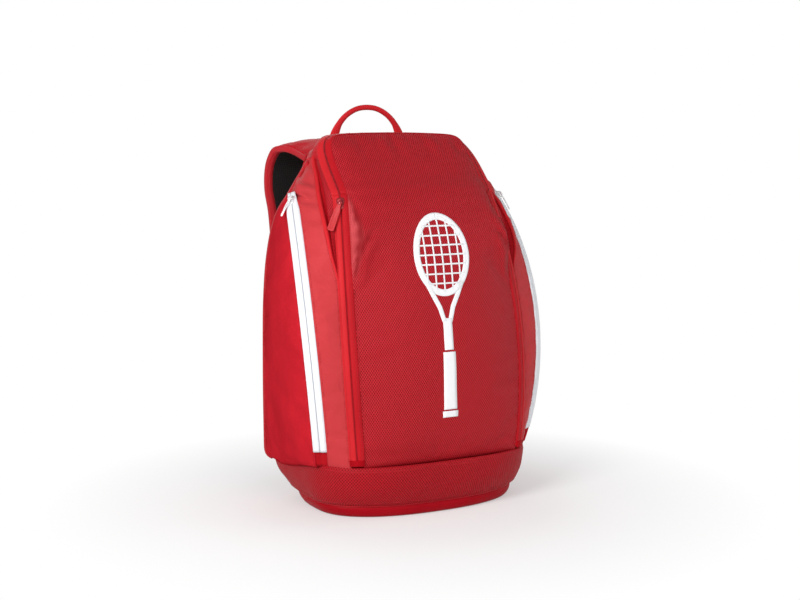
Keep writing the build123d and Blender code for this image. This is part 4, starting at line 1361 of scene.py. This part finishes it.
def bottom_sheet():
    outline, centre, thickness = base_outline(0), np.array([0.0, -13.0]), 2.2
    rings = np.array([
        np.column_stack([centre + (outline - centre) * (0.02 + 0.92 * f),
                         np.full(len(outline), 0.2 + 0.25 * math.sin(f * 9))])
        for f in (0.0, 0.25, 0.5, 0.75, 1.0)])
    cols = len(outline)
    upper = 5 * cols
    low = rings.reshape(-1, 3)
    faces = []
    for j in range(4):
        for i in range(cols):
            a, b = j * cols + i, j * cols + (i + 1) % cols
            faces.append((a, b, b + cols, a + cols))
            faces.append((upper + a, upper + a + cols, upper + b + cols, upper + b))
    for i in range(cols):
        a, b = 4 * cols + i, 4 * cols + (i + 1) % cols
        faces.append((a, b, upper + b, upper + a))
    faces.append(tuple(range(cols)))
    faces.append(tuple(range(upper, upper + cols)))
    verts = np.vstack([low, low + np.array([0, 0, thickness])])
    return make("base_bottom_sheet", verts, faces, verts[:, :2] * 0.001, "web")


bottom = bottom_sheet()

# ============================================================ carry handle
HANDLE_Y = 108.4
HANDLE_LEFT = [(-51, 480.5), (-49, 489), (-42, 502), (-31, 513), (-16, 520.8)]      # (x, z)


def carry_handle():
    points = HANDLE_LEFT + [(0, 523)] + [(-x, z) for x, z in HANDLE_LEFT[::-1]]
    path = catmull([(x, HANDLE_Y, z) for x, z in points], 200)
    path = gauss(resample(path, step=2.2), 1.2)
    t = np.linspace(0, 1, len(path))
    from_end = np.minimum(t, 1 - t) * 2.2 * len(path)
    wide = np.interp(from_end, [0, 8, 22, 36], [7.6, 6.4, 4.2, 3.7])
    thick = np.interp(from_end, [0, 8, 22, 36], [1.8, 2.2, 3.1, 3.5])
    return tube("carry_handle_cord", path, *frames_along(path, (0, -1.0, 0)),
                scaled(oval(1, 1, 16, 2.3), wide, thick), "zip")


def handle_tab(name, x):
    path = [(x, HANDLE_Y - 0.4 - 0.6 * f, 479.6 - 10.5 * f) for f in np.linspace(0, 1, 6)]
    return tube(name, path, *frames_along(path, (0, -1, 0)), oval(7.8, 1.9, 16, 3.0), "bind")


handle = carry_handle()
handle_tabs = [handle_tab("handle_end_tab_left", -51), handle_tab("handle_end_tab_right", 51)]


# ============================================================ shoulder straps
def strap_frames():
    """Points, across and out vectors and half widths of the left strap."""
    even = resample(catmull(STRAP, 160), step=4.0)
    path, roll = even[:, :3], np.radians(even[:, 4])
    along = tangents(path)
    across = square_to(np.stack([np.cos(roll), 0 * roll, np.sin(roll)], 1), along)
    return path, across, np.cross(across, along), even[:, 3]


STRAP_PATH, STRAP_ACROSS, STRAP_OUT, STRAP_HALF = strap_frames()


def strap_grid(height, inset, crown):
    return np.array([
        [spot + wide * (half - inset) * q + out * (height + crown * (1 - abs(q) ** 3))
         for q in np.linspace(-1, 1, 17)]
        for spot, wide, out, half in zip(STRAP_PATH, STRAP_ACROSS, STRAP_OUT, STRAP_HALF)])


def strap_sheet(name, grid, thickness, mat):
    return two_faced(name, grid, grid - STRAP_OUT[:, None] * thickness, mat)


def strap_edge(name, side, height, section):
    path = STRAP_PATH + STRAP_ACROSS * (STRAP_HALF * side)[:, None] + STRAP_OUT * height
    return tube(name, path, STRAP_ACROSS, STRAP_OUT, section, "bind")


padded_grid = strap_grid(height=6.4, inset=1.0, crown=1.6)
for row in padded_grid:
    for spot in row:
        spot += np.array([0, 1, 0.2]) * 0.5 * soft_noise(spot, 30.0, 41.0)
strap = strap_sheet("strap_cover_left", padded_grid, 6.0, "smooth")
puff(strap, pressure=5.0, limit=2.0, shrink=-0.01, rings=1)
strap_mesh = strap_sheet("strap_mesh_cover_left", strap_grid(height=0.3, inset=7.0, crown=-0.2),
                         2.4, "mesh")
TURNED_EDGE = [(0.4, -2.2), (0.0, -1.2), (0.6, 0.0), (8.2, 0.0), (8.8, -1.2), (8.2, -2.5),
               (4.0, -2.9)]
SIDES = ((-1, "a"), (1, "b"))
strap_edges = [strap_edge(f"strap_edge_binding_{letter}_left", side, 2.4,
                          oval(2.1, 4.4, 12, 2.6)) for side, letter in SIDES]
strap_edges += [strap_edge(f"strap_turned_edge_{letter}_left", side, 0.0,
                           [(-side * a, b) for a, b in TURNED_EDGE]) for side, letter in SIDES]


def strap_end_band():
    """Turned band across the lower end of the strap."""
    spot, wide, out = STRAP_PATH[-1], STRAP_ACROSS[-1], STRAP_OUT[-1]
    path = [spot + wide * STRAP_HALF[-1] * q + out * 2.4 for q in np.linspace(-1, 1, 21)]
    return tube("strap_low_band_left", path, unit(np.cross(wide, out)), out,
                oval(2.6, 4.5, 12, 2.6), "bind")


strap_band = strap_end_band()

# ladder lock, keeper, webbing: down the webbing, across it and out
WEB_DOWN = unit([-30.0, -20.0, -103.0])
WEB_ACROSS = unit(np.cross(WEB_DOWN, [0, 1.0, 0]))
WEB_OUT = np.cross(WEB_ACROSS, WEB_DOWN)


def web_strip(name, start, end, half, thickness, height, steps):
    path = [LOCK_AT + WEB_DOWN * t + WEB_OUT * height for t in np.linspace(start, end, steps)]
    low, face, inner = thickness * 0.3, thickness / 2, half - 0.6
    section = [(-half, -low), (-half + 0.6, -face), (inner, -face), (half, -low), (half, low),
               (inner, face), (half * 0.33, face), (-half * 0.33, face), (-half + 0.6, face),
               (-half, low)]
    return tube(name, path, WEB_ACROSS, WEB_OUT, section, "web")


webbing = web_strip("webbing_strip_left", -14, 104, half=12.5, thickness=1.7, height=0.0,
                    steps=40)
keeper = web_strip("lock_keeper_loop_left", -30, -6, half=12.0, thickness=1.5, height=-2.3,
                   steps=24)

# Bars of the lock: from and to across, down and out
LOCK_BARS = [
    (-17, -13.1, -11, 11, -5.6, 3.2), (13.1, 17, -11, 11, -5.6, 3.2),
    (-14, 14, -11, -7.5, -5.6, -3.4), (-14, 14, -2, 2, 1.2, 3.2),
    (-14, 14, 7.5, 11, -3.2, -1.2)]
lock = join("ladder_lock_frame_left", [
    soft_box(f"lk{i}", LOCK_AT, (WEB_ACROSS, WEB_DOWN, WEB_OUT), bar, "plastic", 0.9)
    for i, bar in enumerate(LOCK_BARS)])
fin_grid = [[(-150 + 31 * u * (1 - 0.45 * v) + 7 * v, 125.6 + 0.8 * math.sin(math.pi * u),
              78 - 16 * v) for u in np.linspace(0, 1, 12)] for v in np.linspace(0, 1, 8)]
fin = sheet("lower_anchor_fin_left", fin_grid, 3.2, "bind", (0, 0, 70))


# ============================================================ sliders and pulls
def slider_frame(arc, fraction, swivel):
    """Point, across and down the zip, out; then across and down a pull turned by swivel."""
    spot, wide, out = arc.frame(arc.top + arc.span * fraction)
    down = np.cross(wide, out)
    if down[2] > 0:
        down = -down
    s, c = math.sin(math.radians(swivel)), math.cos(math.radians(swivel))
    return spot, wide, down, out, wide * c - down * s, down * c + wide * s


def build_slider(tag, slider, half_wide, half_long, mat):
    spot, wide, down, out, pull_wide, pull_down = slider
    axes = (wide, down, out)
    # body: a rounded shield with a flared head and a waist
    stations = np.array([(-1, 0.72), (-0.8, 0.95), (-0.45, 1.0), (0, 0.86), (0.45, 0.74),
                         (0.85, 0.7), (1, 0.5)])       # share of half length, share of width
    section = [(-1, 0.45), (-0.96, 1.6), (-0.7, 2.25), (0, 2.45), (0.7, 2.25), (0.96, 1.6),
               (1, 0.45), (0.6, 0.35), (-0.6, 0.35)]
    body = tube(f"{tag}_body", [spot + down * (half_long * t) for t in stations[:, 0]], wide,
                out, scaled(section, half_wide * stations[:, 1]), mat)
    under = soft_box(f"{tag}_under", spot, axes,
                     (-half_wide * 0.8, -0.6, -half_long * 0.8, half_long * 0.8, -3.0, -1.8),
                     mat, 0.4)
    neck = soft_box(f"{tag}_neck", spot, axes,
                    (-0.5, 0.5, -half_long * 0.6, half_long * 0.3, -2.6, 0.8), mat, 0.15)
    # bridge: an arched bar over the top plate
    arch = [spot + pull_down * (-math.cos(t) * 4.6) * 0.9
            + out * (2.0 + 4.0 * math.sin(t) ** 0.7) for t in np.linspace(0, math.pi, 13)]
    bridge = tube(f"{tag}_bridge", arch, *frames_along(arch, pull_wide),
                  oval(0.75, 1.5, 10, 2.6), mat)
    rod = [spot + pull_wide * t + out * PIVOT_HEIGHT for t in np.linspace(-3.2, 3.2, 5)]
    pin = tube(f"{tag}_pin", rod, *frames_along(rod, out), oval(0.8, 0.8, 10), mat)
    return join(f"{tag}_shell", [body, under, neck, bridge, pin])


# Section of the moulded pull: share of half width, share of half thickness, share of the sink
PULL_SECTION = [
    (-1, -0.6, 0), (-1, 0.6, 0), (-0.92, 1, 0), (-0.72, 1, 0), (-0.6, 1, 1), (0, 1, 1),
    (0.6, 1, 1), (0.72, 1, 0), (0.92, 1, 0), (1, 0.6, 0), (1, -0.6, 0), (0.92, -1, 0),
    (-0.92, -1, 0)]


def build_moulded_pull(name, slider, half_wide, length, thickness):
    """Rounded head and a widening leaf with a raised rim and a sunk middle."""
    spot, _, _, out, wide, down = slider
    pivot = spot + out * PIVOT_HEIGHT
    stations = [(-1.9, 0.28), (-1.6, 0.42), (0.0, 0.50), (3.0, 0.52), (6.0, 0.62), (9.0, 0.82),
                (13, 0.92), (length * 0.6, 1.0), (length - 3.0, 1.0), (length - 1.0, 0.93),
                (length, 0.72)]                        # distance from the pin, share of width
    sections = []
    for t, k in stations:
        sink = 0.45 if 11 < t < length - 2 else 0.0
        face = thickness / 2 * (1.15 if t < 3 else 1.0)
        sections.append([(half_wide * k * a, face * b - sink * c) for a, b, c in PULL_SECTION])
    return tube(name, [pivot + down * t for t, _ in stations], wide, out, sections, "tab")


def build_cord_pull(tag, slider, length):
    """Thin cord loop through the bridge closed by a tip, drooping towards the cloth."""
    spot, _, _, out, wide, down = slider
    pivot = spot + out * PIVOT_HEIGHT

    def hang(t):
        return pivot + down * t - out * 3.6 * (max(t, 0.0) / length) ** 1.6

    points = [pivot - down * 1.5 - wide * 1.0, hang(4) - wide * 1.1,
              hang(length * 0.55) - wide * 1.0, hang(length * 0.93),
              hang(length * 0.55) + wide * 1.0, hang(4) + wide * 1.1,
              pivot - down * 1.5 + wide * 1.0, pivot - down * 2.3]
    path = resample(catmull(points, 80), step=1.5)
    cord = tube(f"{tag}_cord", path, *frames_along(path, out), oval(0.75, 0.75, 8), "cord")
    ends = (length * 0.7, length * 0.74, length * 0.85, length, length + 1.2)
    size = [0.6, 0.9, 1.0, 0.95, 0.5]
    tip = tube(f"{tag}_tip", [hang(t) for t in ends], wide, out,
               scaled(oval(1.5, 0.9, 12), size, size), "cord")
    return join(f"{tag}_cord_pull", [cord, tip])


main_at = slider_frame(MAIN, fraction=0.030, swivel=22.0)
main_slider = build_slider("main_slider", main_at, half_wide=5.6, half_long=7.5, mat="metal")
main_pull = build_moulded_pull("main_pull_leaf", main_at, half_wide=4.4, length=39.0,
                               thickness=2.2)
place(main_slider, ["main_slider"], "main_slider")
place(main_pull, ["main_slider_pull"], "main_slider_pull")
side_at = slider_frame(SIDE, fraction=0.035, swivel=38.0)
side_slider = build_slider("side_slider_l", side_at, half_wide=5.0, half_long=6.0,
                           mat="white metal")
side_pull = build_cord_pull("side_pull_l", side_at, length=25.0)

# ============================================================ placing and mirroring
LEFT_PIECES = [
    (side_front, ["side_front_panel_left", "shoulder_panel_left"], "smooth_fabric"),
    (side_rear, ["side_rear_panel_left", "side_low_panel_left"], "smooth_fabric"),
    (rear_lip, ["side_zip_tape_left"], "zip_tape_white"),
    (front_lip, [], "zip_tape_white"),
    (pocket_coil, [], "zip_tape_white"),
    (recess, [], "smooth_fabric"),
    (binding, ["rear_binding_left"], "smooth_fabric"),
    (gusset, ["zip_gusset_left"], "textured_fabric"),
    (trough, [], "smooth_fabric"),
    (pipe, [], "smooth_fabric"),
]
for piece in [entry[0] for entry in LEFT_PIECES] + [back, cuff]:
    lower_with_sag(piece)
for entry in LEFT_PIECES:
    both(*entry)

both_bent(strap, ["shoulder_strap_left"])
both_bent(strap_mesh, ["strap_mesh_left"])
for piece in strap_edges:
    both_bent(piece, [])
both(strap_band, [], "smooth_fabric", "strap_left")
both(keeper, ["lock_keeper_left"], "webbing", "strap_left")
both(lock, ["ladder_lock_left"], "buckle_plastic", "strap_left")
both(webbing, ["strap_webbing_left"], "webbing", "webbing_left")
both(fin, ["lower_strap_anchor_left"], "smooth_fabric")
both(side_slider, ["side_slider_left"], "slider_metal", "side_slider_left")
both(side_pull, ["side_slider_pull_left"], "cord_white", "side_pull_left")
place(shell_lip, ["main_zip_tape_shell"])
place(shell_coil, [])
place(back, ["back_panel"])
place(top, ["top_panel"])
place(top_roll, [])
place(yoke, ["strap_yoke"])
place(cuff, ["base_cuff"])
place(rim, ["base_rim"])
place(seam_ring, [])
place(bottom, ["base_bottom_cover"])
place(handle, ["carry_handle"], "carry_handle")
place(handle_tabs[0], ["handle_tab"])
place(handle_tabs[1], [])


# ============================================================ back padding
def pad_height(u, v, round_r, depth, tall):
    """Height of a pad at (u, v) in -1..1, with two moulded channels across its length."""
    if tall:
        across, offset, width = v - 0.10 * u, 0.33, 0.035
    else:
        across, offset, width = u, 0.34, 0.03
    channel = sum(math.exp(-((across - c) / width) ** 2) for c in (-offset, offset))
    r = np.clip(round_r, 0, 1)
    return depth * (1 - r ** 7) ** 0.6 - 3.2 * min(channel, 1.0) * (1 - r ** 6)


def pad_cover(name, box, depth):
    x0, x1, z0, z1 = box
    centre_x, centre_z, half_x, half_z = (x0 + x1) / 2, (z0 + z1) / 2, (x1 - x0) / 2, (z1 - z0) / 2
    rows = []
    for v in np.linspace(-1, 1, max(int((z1 - z0) / 5), 12)):
        row = []
        for u in np.linspace(-1, 1, max(int((x1 - x0) / 5), 12)):
            # square to rounded square
            k = max(abs(u), abs(v), 1e-6)
            r = max((abs(u) ** 6 + abs(v) ** 6) ** (1 / 6), 1e-6)
            round_u, round_v = u * k / r, v * k / r
            x, z = centre_x + round_u * half_x, centre_z + round_v * half_z
            round_r = (abs(round_u) ** 6 + abs(round_v) ** 6) ** (1 / 6)
            height = pad_height(u, v, round_r, depth, half_z > half_x)
            y = 120.8 + max(height, 0.3) + 0.3 * soft_noise((x, 0, z), 25.0, 51.0)
            row.append((x, y, z))
        rows.append(row)
    return sheet(name, rows, 2.0, "mesh", (centre_x, 0, centre_z))


def rounded_binding(name, box, radius, y, section, mat):
    """Section swept round an upright rectangle with rounded corners."""
    x0, x1, z0, z1 = box
    corners = [(x1 - radius, z1 - radius, 0), (x0 + radius, z1 - radius, 90),
               (x0 + radius, z0 + radius, 180), (x1 - radius, z0 + radius, 270)]
    path = [(x + radius * math.cos(math.radians(a)), y, z + radius * math.sin(math.radians(a)))
            for x, z, turn in corners for a in np.linspace(turn, turn + 90, 12)]
    path = resample(path + path[:1], step=3.5)[:-1]
    return tube(name, path, *frames_along(path, (0, 1, 0), closed=True), section, mat,
                closed=True)


PAD_EDGE = oval(2.0, 1.8, 10, 2.4)
BACK_PAD = (-92, -14, 150, 372)        # x from and to, z from and to
LUMBAR_PAD = (-92, 92, 78, 138)
back_pad = pad_cover("back_pad_cover_left", BACK_PAD, depth=11.0)
back_pad_edge = rounded_binding("back_pad_binding_left", BACK_PAD, 20, 121.6, PAD_EDGE, "bind")
lumbar = pad_cover("lumbar_pad_cover", LUMBAR_PAD, depth=12.0)
lumbar_edge = rounded_binding("lumbar_pad_binding", LUMBAR_PAD, 18, 121.6, PAD_EDGE, "bind")
both(back_pad, ["back_pad_left"], "mesh_black")
both(back_pad_edge, [], "smooth_fabric")
place(lumbar, ["lumbar_pad"])
place(lumbar_edge, [])

# ============================================================ inside
DIVIDER_HALF, DIVIDER_LOW, DIVIDER_HIGH, DIVIDER_CORNER = 116, 76, 396, 30.0


def divider_grid():
    """Quilted upright sheet with rounded corners."""
    corner, tall = DIVIDER_CORNER, DIVIDER_HIGH - DIVIDER_LOW
    rows = []
    for z in np.linspace(DIVIDER_LOW, DIVIDER_HIGH, 48):
        near = min(z - DIVIDER_LOW, DIVIDER_HIGH - z, corner)
        half = DIVIDER_HALF - (corner - math.sqrt(max(corner ** 2 - (corner - near) ** 2, 0)))
        row = []
        for x in np.linspace(-half, half, 36):
            quilt = (1.3 * (0.5 + 0.5 * math.cos((z - DIVIDER_LOW) / tall * 2 * math.pi * 5))
                     * (0.5 + 0.5 * math.cos(x / (2 * DIVIDER_HALF) * 2 * math.pi * 4)))
            row.append((x, 72.6 - quilt + 0.5 * soft_noise((x, 0, z), 60, 61), z))
        rows.append(row)
    return rows


def liner_grid():
    rows = []
    for z in np.linspace(76, 370, 42):
        start = left(OUTER_SEAM, z) + np.array([14.0, 24.0])
        end = left(REAR_EDGE, z) + np.array([22.0, -16.0])
        rows.append([point(start + (end - start) * t
                           + np.array([0.8, 0]) * soft_noise((t * 90, 0, z), 40, 71), z)
                     for t in np.linspace(0, 1, 22)])
    return rows


divider = sheet("racket_divider_cover", divider_grid(), 4.6, "lining", (0, 400, 236))
divider_edge = rounded_binding(
    "racket_divider_binding", (-DIVIDER_HALF, DIVIDER_HALF, DIVIDER_LOW, DIVIDER_HIGH),
    DIVIDER_CORNER, 74.3, oval(2.2, 2.9, 10, 2.4), "lining")
place(divider, ["racket_divider"])
place(divider_edge, [])
liner = sheet("side_pocket_liner_cloth_left", liner_grid(), 1.0, "lining", (200, 30, 220))
both(liner, ["side_pocket_liner_left"], "lining")


# ============================================================ emblem on the flap
def tree_of(piece):
    return BVHTree.FromObject(piece, bpy.context.evaluated_depsgraph_get())


subdivide(front)
flap_tree = tree_of(front)


def on_flap(x, z):
    """Point and outward normal on the finished flap, in mm."""
    spot, normal = flap_tree.ray_cast(Vector((x * 0.001, -0.4, z * 0.001)), Vector((0, 1, 0)))[:2]
    normal = np.array(normal)
    return np.array(spot) * 1000, -normal if normal[1] > 0 else normal


def applique(name, shapes, mat):
    """Flat strips [(centre line (x, z), half widths)] laid on the flap."""
    verts, faces, uvs = [], [], []
    for line, halves in shapes:
        path = np.array([(x, 0, z) for x, z in line], float)
        even = np.linspace(0, 1, len(path))
        widths = np.interp(even, np.linspace(0, 1, len(halves)), halves)
        path = resample(np.column_stack([path, widths]), step=1.6)
        flat, half = path[:, [0, 2]], path[:, 3]
        along = tangents(flat)
        sideways = np.stack([-along[:, 1], along[:, 0]], 1)
        run = lengths(flat)
        cols = 5 if max(halves) > 2 else 3
        rows, base = len(path), len(verts)
        for height in (0.5, -0.6):
            for j in range(rows):
                for q in np.linspace(-1, 1, cols):
                    spot, normal = on_flap(*(flat[j] + sideways[j] * half[j] * q))
                    verts.append(spot + normal * height)
                    uvs.append((q * half[j] * 0.001, run[j] * 0.001))
        back_side = rows * cols
        for j in range(rows - 1):
            for i in range(cols - 1):
                a = base + j * cols + i
                b = back_side + a
                faces.append((a, a + 1, a + cols + 1, a + cols))
                faces.append((b, b + cols, b + cols + 1, b + 1))
            for i in (0, cols - 1):
                a = base + j * cols + i
                faces.append((a, a + cols, back_side + a + cols, back_side + a))
        for j in (0, rows - 1):
            for i in range(cols - 1):
                a = base + j * cols + i
                faces.append((a, a + 1, back_side + a + 1, back_side + a))
    return make(name, verts, faces, uvs, mat)


def racket_shapes():
    middle, reach_x, reach_z = 334.0, 36.0, 48.0       # of the hoop
    hoop = [(reach_x * math.sin(t), middle + reach_z * math.cos(t))
            for t in np.linspace(0, 2 * math.pi, 90)]
    shapes = [(hoop, [4.3, 4.3])]
    for x in (-24, -12, 0, 12, 24):
        half = (reach_z - 1) * math.sqrt(1 - (x / reach_x) ** 2)
        shapes.append(([(x, middle - half), (x, middle + half)], [1.0, 1.0]))
    for z in (-36, -24, -12, 0, 12, 24, 36):
        half = (reach_x - 1) * math.sqrt(1 - (z / reach_z) ** 2)
        shapes.append(([(-half, middle + z), (half, middle + z)], [1.0, 1.0]))
    for side in (-1, 1):
        throat = [(25.5, -34), (18, -50), (9.5, -66), (4.2, -84)]
        shapes.append(([(side * x, middle + z) for x, z in throat], [3.6, 3.2, 3.2, 3.0]))
    # shaft, grip and butt: upper end, lower end, half widths
    for high, low, halves in ((80, 120, [6.4, 6.4]), (122.5, 196, [8.8, 9.6]),
                              (198, 206, [11.2, 11.0])):
        shapes.append(([(0, middle - high), (0, middle - low)], halves))
    return shapes


emblem = applique("racket_emblem_print", racket_shapes(), "print")
place(emblem, [], "front_flap")
subdivide(flap_lip)
subdivide(shell_lip)


# ============================================================ rows of stitches
def dashes(name, runs, mat="stitch"):
    """Short five-sided threads along runs of (points, normals)."""
    pitch, length, radius, lift = 3.9, 2.7, 0.34, 0.12
    sides = 5
    verts, faces, uvs = [], [], []
    for points, normals in runs:
        even = resample(np.hstack([points, normals]), step=length / 3.0)
        run = lengths(even[:, :3])
        for q in range(int(run[-1] / pitch)):
            start = q * pitch + 0.4
            stations = np.array([[np.interp(start + f * length, run, column)
                                  for column in even.T] for f in (0, 0.25, 0.75, 1.0)])
            spots, outs = stations[:, :3], stations[:, 3:]
            outs /= np.linalg.norm(outs, axis=1)[:, None]
            wides = np.cross(outs, unit(spots[-1] - spots[0]))
            base = len(verts)
            # the ends are thinner and dip into the cloth
            for j, (height, size) in enumerate(((-0.25, 0.6), (lift, 1.0), (lift, 1.0),
                                                (-0.25, 0.6))):
                for a in range(sides):
                    angle = 2 * math.pi * a / sides + 0.3
                    verts.append(spots[j] + outs[j] * (height + radius * size * math.sin(angle))
                                 + wides[j] * (radius * 1.15 * size * math.cos(angle)))
                    uvs.append((a * 0.0004, (start + j) * 0.001))
            for face in ring_faces(4, sides, False):
                faces.append(tuple(base + k for k in face))
            faces.append(tuple(base + a for a in range(sides)))
            faces.append(tuple(base + 3 * sides + a for a in range(sides)))
    return make(name, verts, faces, uvs, mat)


def snapped(path, tree, step=2.0, sagging=True):
    """Points and normals where a path meets a finished piece."""
    spots, normals = [], []
    for spot in resample(path, step=step):
        if sagging:
            spot = spot - np.array([0, 0, sag(spot[1], spot[2])])
        hit = tree.find_nearest(Vector(spot * 0.001))
        spots.append(np.array(hit[0]) * 1000)
        normals.append(np.array(hit[1]))
    return gauss(np.array(spots), 1.2), gauss(np.array(normals), 1.5)


flap_stitches = dashes("flap_stitching", [
    snapped(ZIP - ZIP_ACROSS * 7.6 + ZIP_OUT * 2.0, tree_of(flap_lip)),
    snapped(FLAP_EDGE - ZIP_ACROSS * 4.2 + ZIP_OUT * 2.0, flap_tree)])
zip_stitches = dashes("zip_stitching", [
    snapped(ZIP + ZIP_ACROSS * 7.6 + ZIP_OUT * 2.0, tree_of(shell_lip))])

for piece, nodes, slot in (
        (front, ["front_panel", "front_panel_lining"], "textured_fabric"),
        (flap_lip, ["main_zip_tape_flap"], "zip_tape_red"),
        (flap_coil, [], "zip_tape_red"),
        (flap_stitches, [], "textured_fabric")):
    place_bent(piece, nodes)
place(zip_stitches, [])


def beside(edge, other, offset, low, high):
    """Line set off from one edge towards another."""
    return np.array([point(edge(z) + unit(other(z) - edge(z)) * offset, z)
                     for z in np.arange(low, high, 5.0)])


def pocket_front(z):
    return on(POCKET_FRONT, z)


def pocket_rear(z):
    return on(POCKET_REAR, z)


front_tree, rear_tree = tree_of(side_front), tree_of(side_rear)
side_stitches = dashes("side_stitching_left", [
    snapped(beside(front_seam, panel_rear_border, 3.0, 76, 425), front_tree),
    snapped(beside(pocket_front, front_seam, 3.0, 92, 398), front_tree),
    snapped(beside(pocket_rear, rear_edge, 3.2, 92, 398), rear_tree),
    snapped(beside(rear_edge, pocket_rear, 6.2, 76, 398), rear_tree)])
both(side_stitches, [], "smooth_fabric")

pocket_stitches = dashes("pocket_zip_stitching_left", [
    snapped(POCKET + POCKET_ACROSS * 7.0 * REAR_WIDTHS[:, None] + POCKET_OUT * 1.2,
            tree_of(rear_lip)),
    snapped(POCKET - POCKET_ACROSS * 7.0 * FRONT_WIDTHS[:, None] + POCKET_OUT * 1.2,
            tree_of(front_lip))], "cord")
both(pocket_stitches, [], "zip_tape_white")

cuff_tree, cuff_runs = tree_of(cuff), []
for z in (64.5, 21.5):
    outline = base_outline(z)
    closed_line = np.vstack([outline, outline[:1]])
    cuff_runs.append(snapped(np.column_stack([closed_line, np.full(len(closed_line), z)]),
                             cuff_tree, 2.5))
place(dashes("cuff_stitching", cuff_runs), [])

top_tree = tree_of(top)
top_stitches = dashes("top_stitching", [
    snapped(TOP_FRONT + np.array([0, 3.2, 2.0]), top_tree),
    snapped(TOP_REAR + np.array([0, -4.6, 2.0]), top_tree)])
place(top_stitches, [])

strap_tree = tree_of(strap)
strap_stitches = dashes("strap_stitching_left", [
    snapped(STRAP_PATH + STRAP_ACROSS * ((STRAP_HALF - 5.6) * side)[:, None] + STRAP_OUT * 7.5,
            strap_tree, sagging=False) for side in (-1, 1)])
both_bent(strap_stitches, [])

# ============================================================ CAD pieces that stay in view
for name in ("back_frame_sheet", "base_board"):
    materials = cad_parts[name].data.materials
    materials.clear()
    materials.append(MATERIALS["plastic"])


# ============================================================ studio, in metres
def floor_material():
    """Pale floor that turns plain white away from the bag, for the camera only."""
    material, g, surface = new_material("studio_floor")
    tone = g.ramp(g.noise(scale=1.5, detail=2.0),
                  [(0.3, (0.90, 0.90, 0.90)), (0.7, (0.93, 0.93, 0.93))])
    g.feed(surface, {"Base Color": tone, "Roughness": 0.9})
    distance = g.node("VectorMath", operation="LENGTH")
    g.feed(distance, {0: g.object_point()})
    far = g.ramp(g.mul(distance.outputs["Value"], 0.5), [(0.10, (0.35, 0.35, 0.35)),
                                                         (0.24, WHITE)])
    glow = g.node("Emission")
    g.feed(glow, {1: 1.0})
    blend = g.node("MixShader")
    rays = g.node("LightPath")
    g.feed(blend, {0: g.mul(far, rays.outputs["Is Camera Ray"]), 1: surface.outputs[0],
                   2: glow.outputs[0]})
    output = next(n for n in g.tree.nodes if n.type == "OUTPUT_MATERIAL")
    g.feed(output, {0: blend.outputs[0]})
    return material


def build_floor(half, z):
    material = floor_material()
    mesh = bpy.data.meshes.new("studio_floor")
    corners = [(-half, -half, z), (half, -half, z), (half, half, z), (-half, half, z)]
    mesh.from_pydata(corners, [], [(0, 1, 2, 3)])
    mesh.update()
    piece = link(bpy.data.objects.new("studio_floor", mesh))
    mesh.materials.append(material)
    return piece


def build_world(ambient):
    """White backdrop that lights the bag more weakly than it looks."""
    world = bpy.data.worlds.new("studio")
    scene.world = world
    world.use_nodes = True
    g = Graph(world.node_tree)
    rays = g.node("LightPath")
    g.feed(world.node_tree.nodes["Background"], {
        0: (1.0, 1.0, 1.0), 1: g.span(rays.outputs["Is Camera Ray"], ambient, 1.0)})


def area_light(name, location, size, power):
    """Rectangular light aimed at the middle of the bag."""
    light = bpy.data.lights.new(name, "AREA")
    light.shape = "RECTANGLE"
    light.size, light.size_y = size
    light.energy = power
    lamp = link(bpy.data.objects.new(name, light))
    lamp.location = location
    aim = Vector((0.0, 0.0, 0.25)) - Vector(location)
    lamp.rotation_euler = aim.to_track_quat("-Z", "Y").to_euler()
    return lamp


def build_camera(location, target, lens):
    data = bpy.data.cameras.new("camera")
    data.lens = lens
    data.sensor_width = 36.0
    data.clip_start, data.clip_end = 0.01, 60.0
    camera = link(bpy.data.objects.new("camera", data))
    camera.location = location
    camera.rotation_mode = "QUATERNION"
    aim = Vector(target) - Vector(camera.location)
    camera.rotation_quaternion = aim.to_track_quat("-Z", "Y")
    scene.camera = camera


build_floor(half=12.0, z=-0.0005)
build_world(ambient=0.34)
lights = [
    area_light("key", location=(-2.1, -1.15, 1.25), size=(1.0, 1.2), power=52.0),
    area_light("front", location=(-0.2, -2.4, 1.0), size=(1.2, 1.2), power=16.0),
    area_light("fill", location=(2.4, -0.7, 1.0), size=(1.5, 1.8), power=14.0),
    area_light("back", location=(0.5, 2.2, 1.6), size=(1.8, 1.2), power=10.0),
]
build_camera(location=(-0.9264, -1.6564, 0.4874), target=(-0.00816, 0.0, 0.2666), lens=64.35)

bpy.context.view_layer.update()
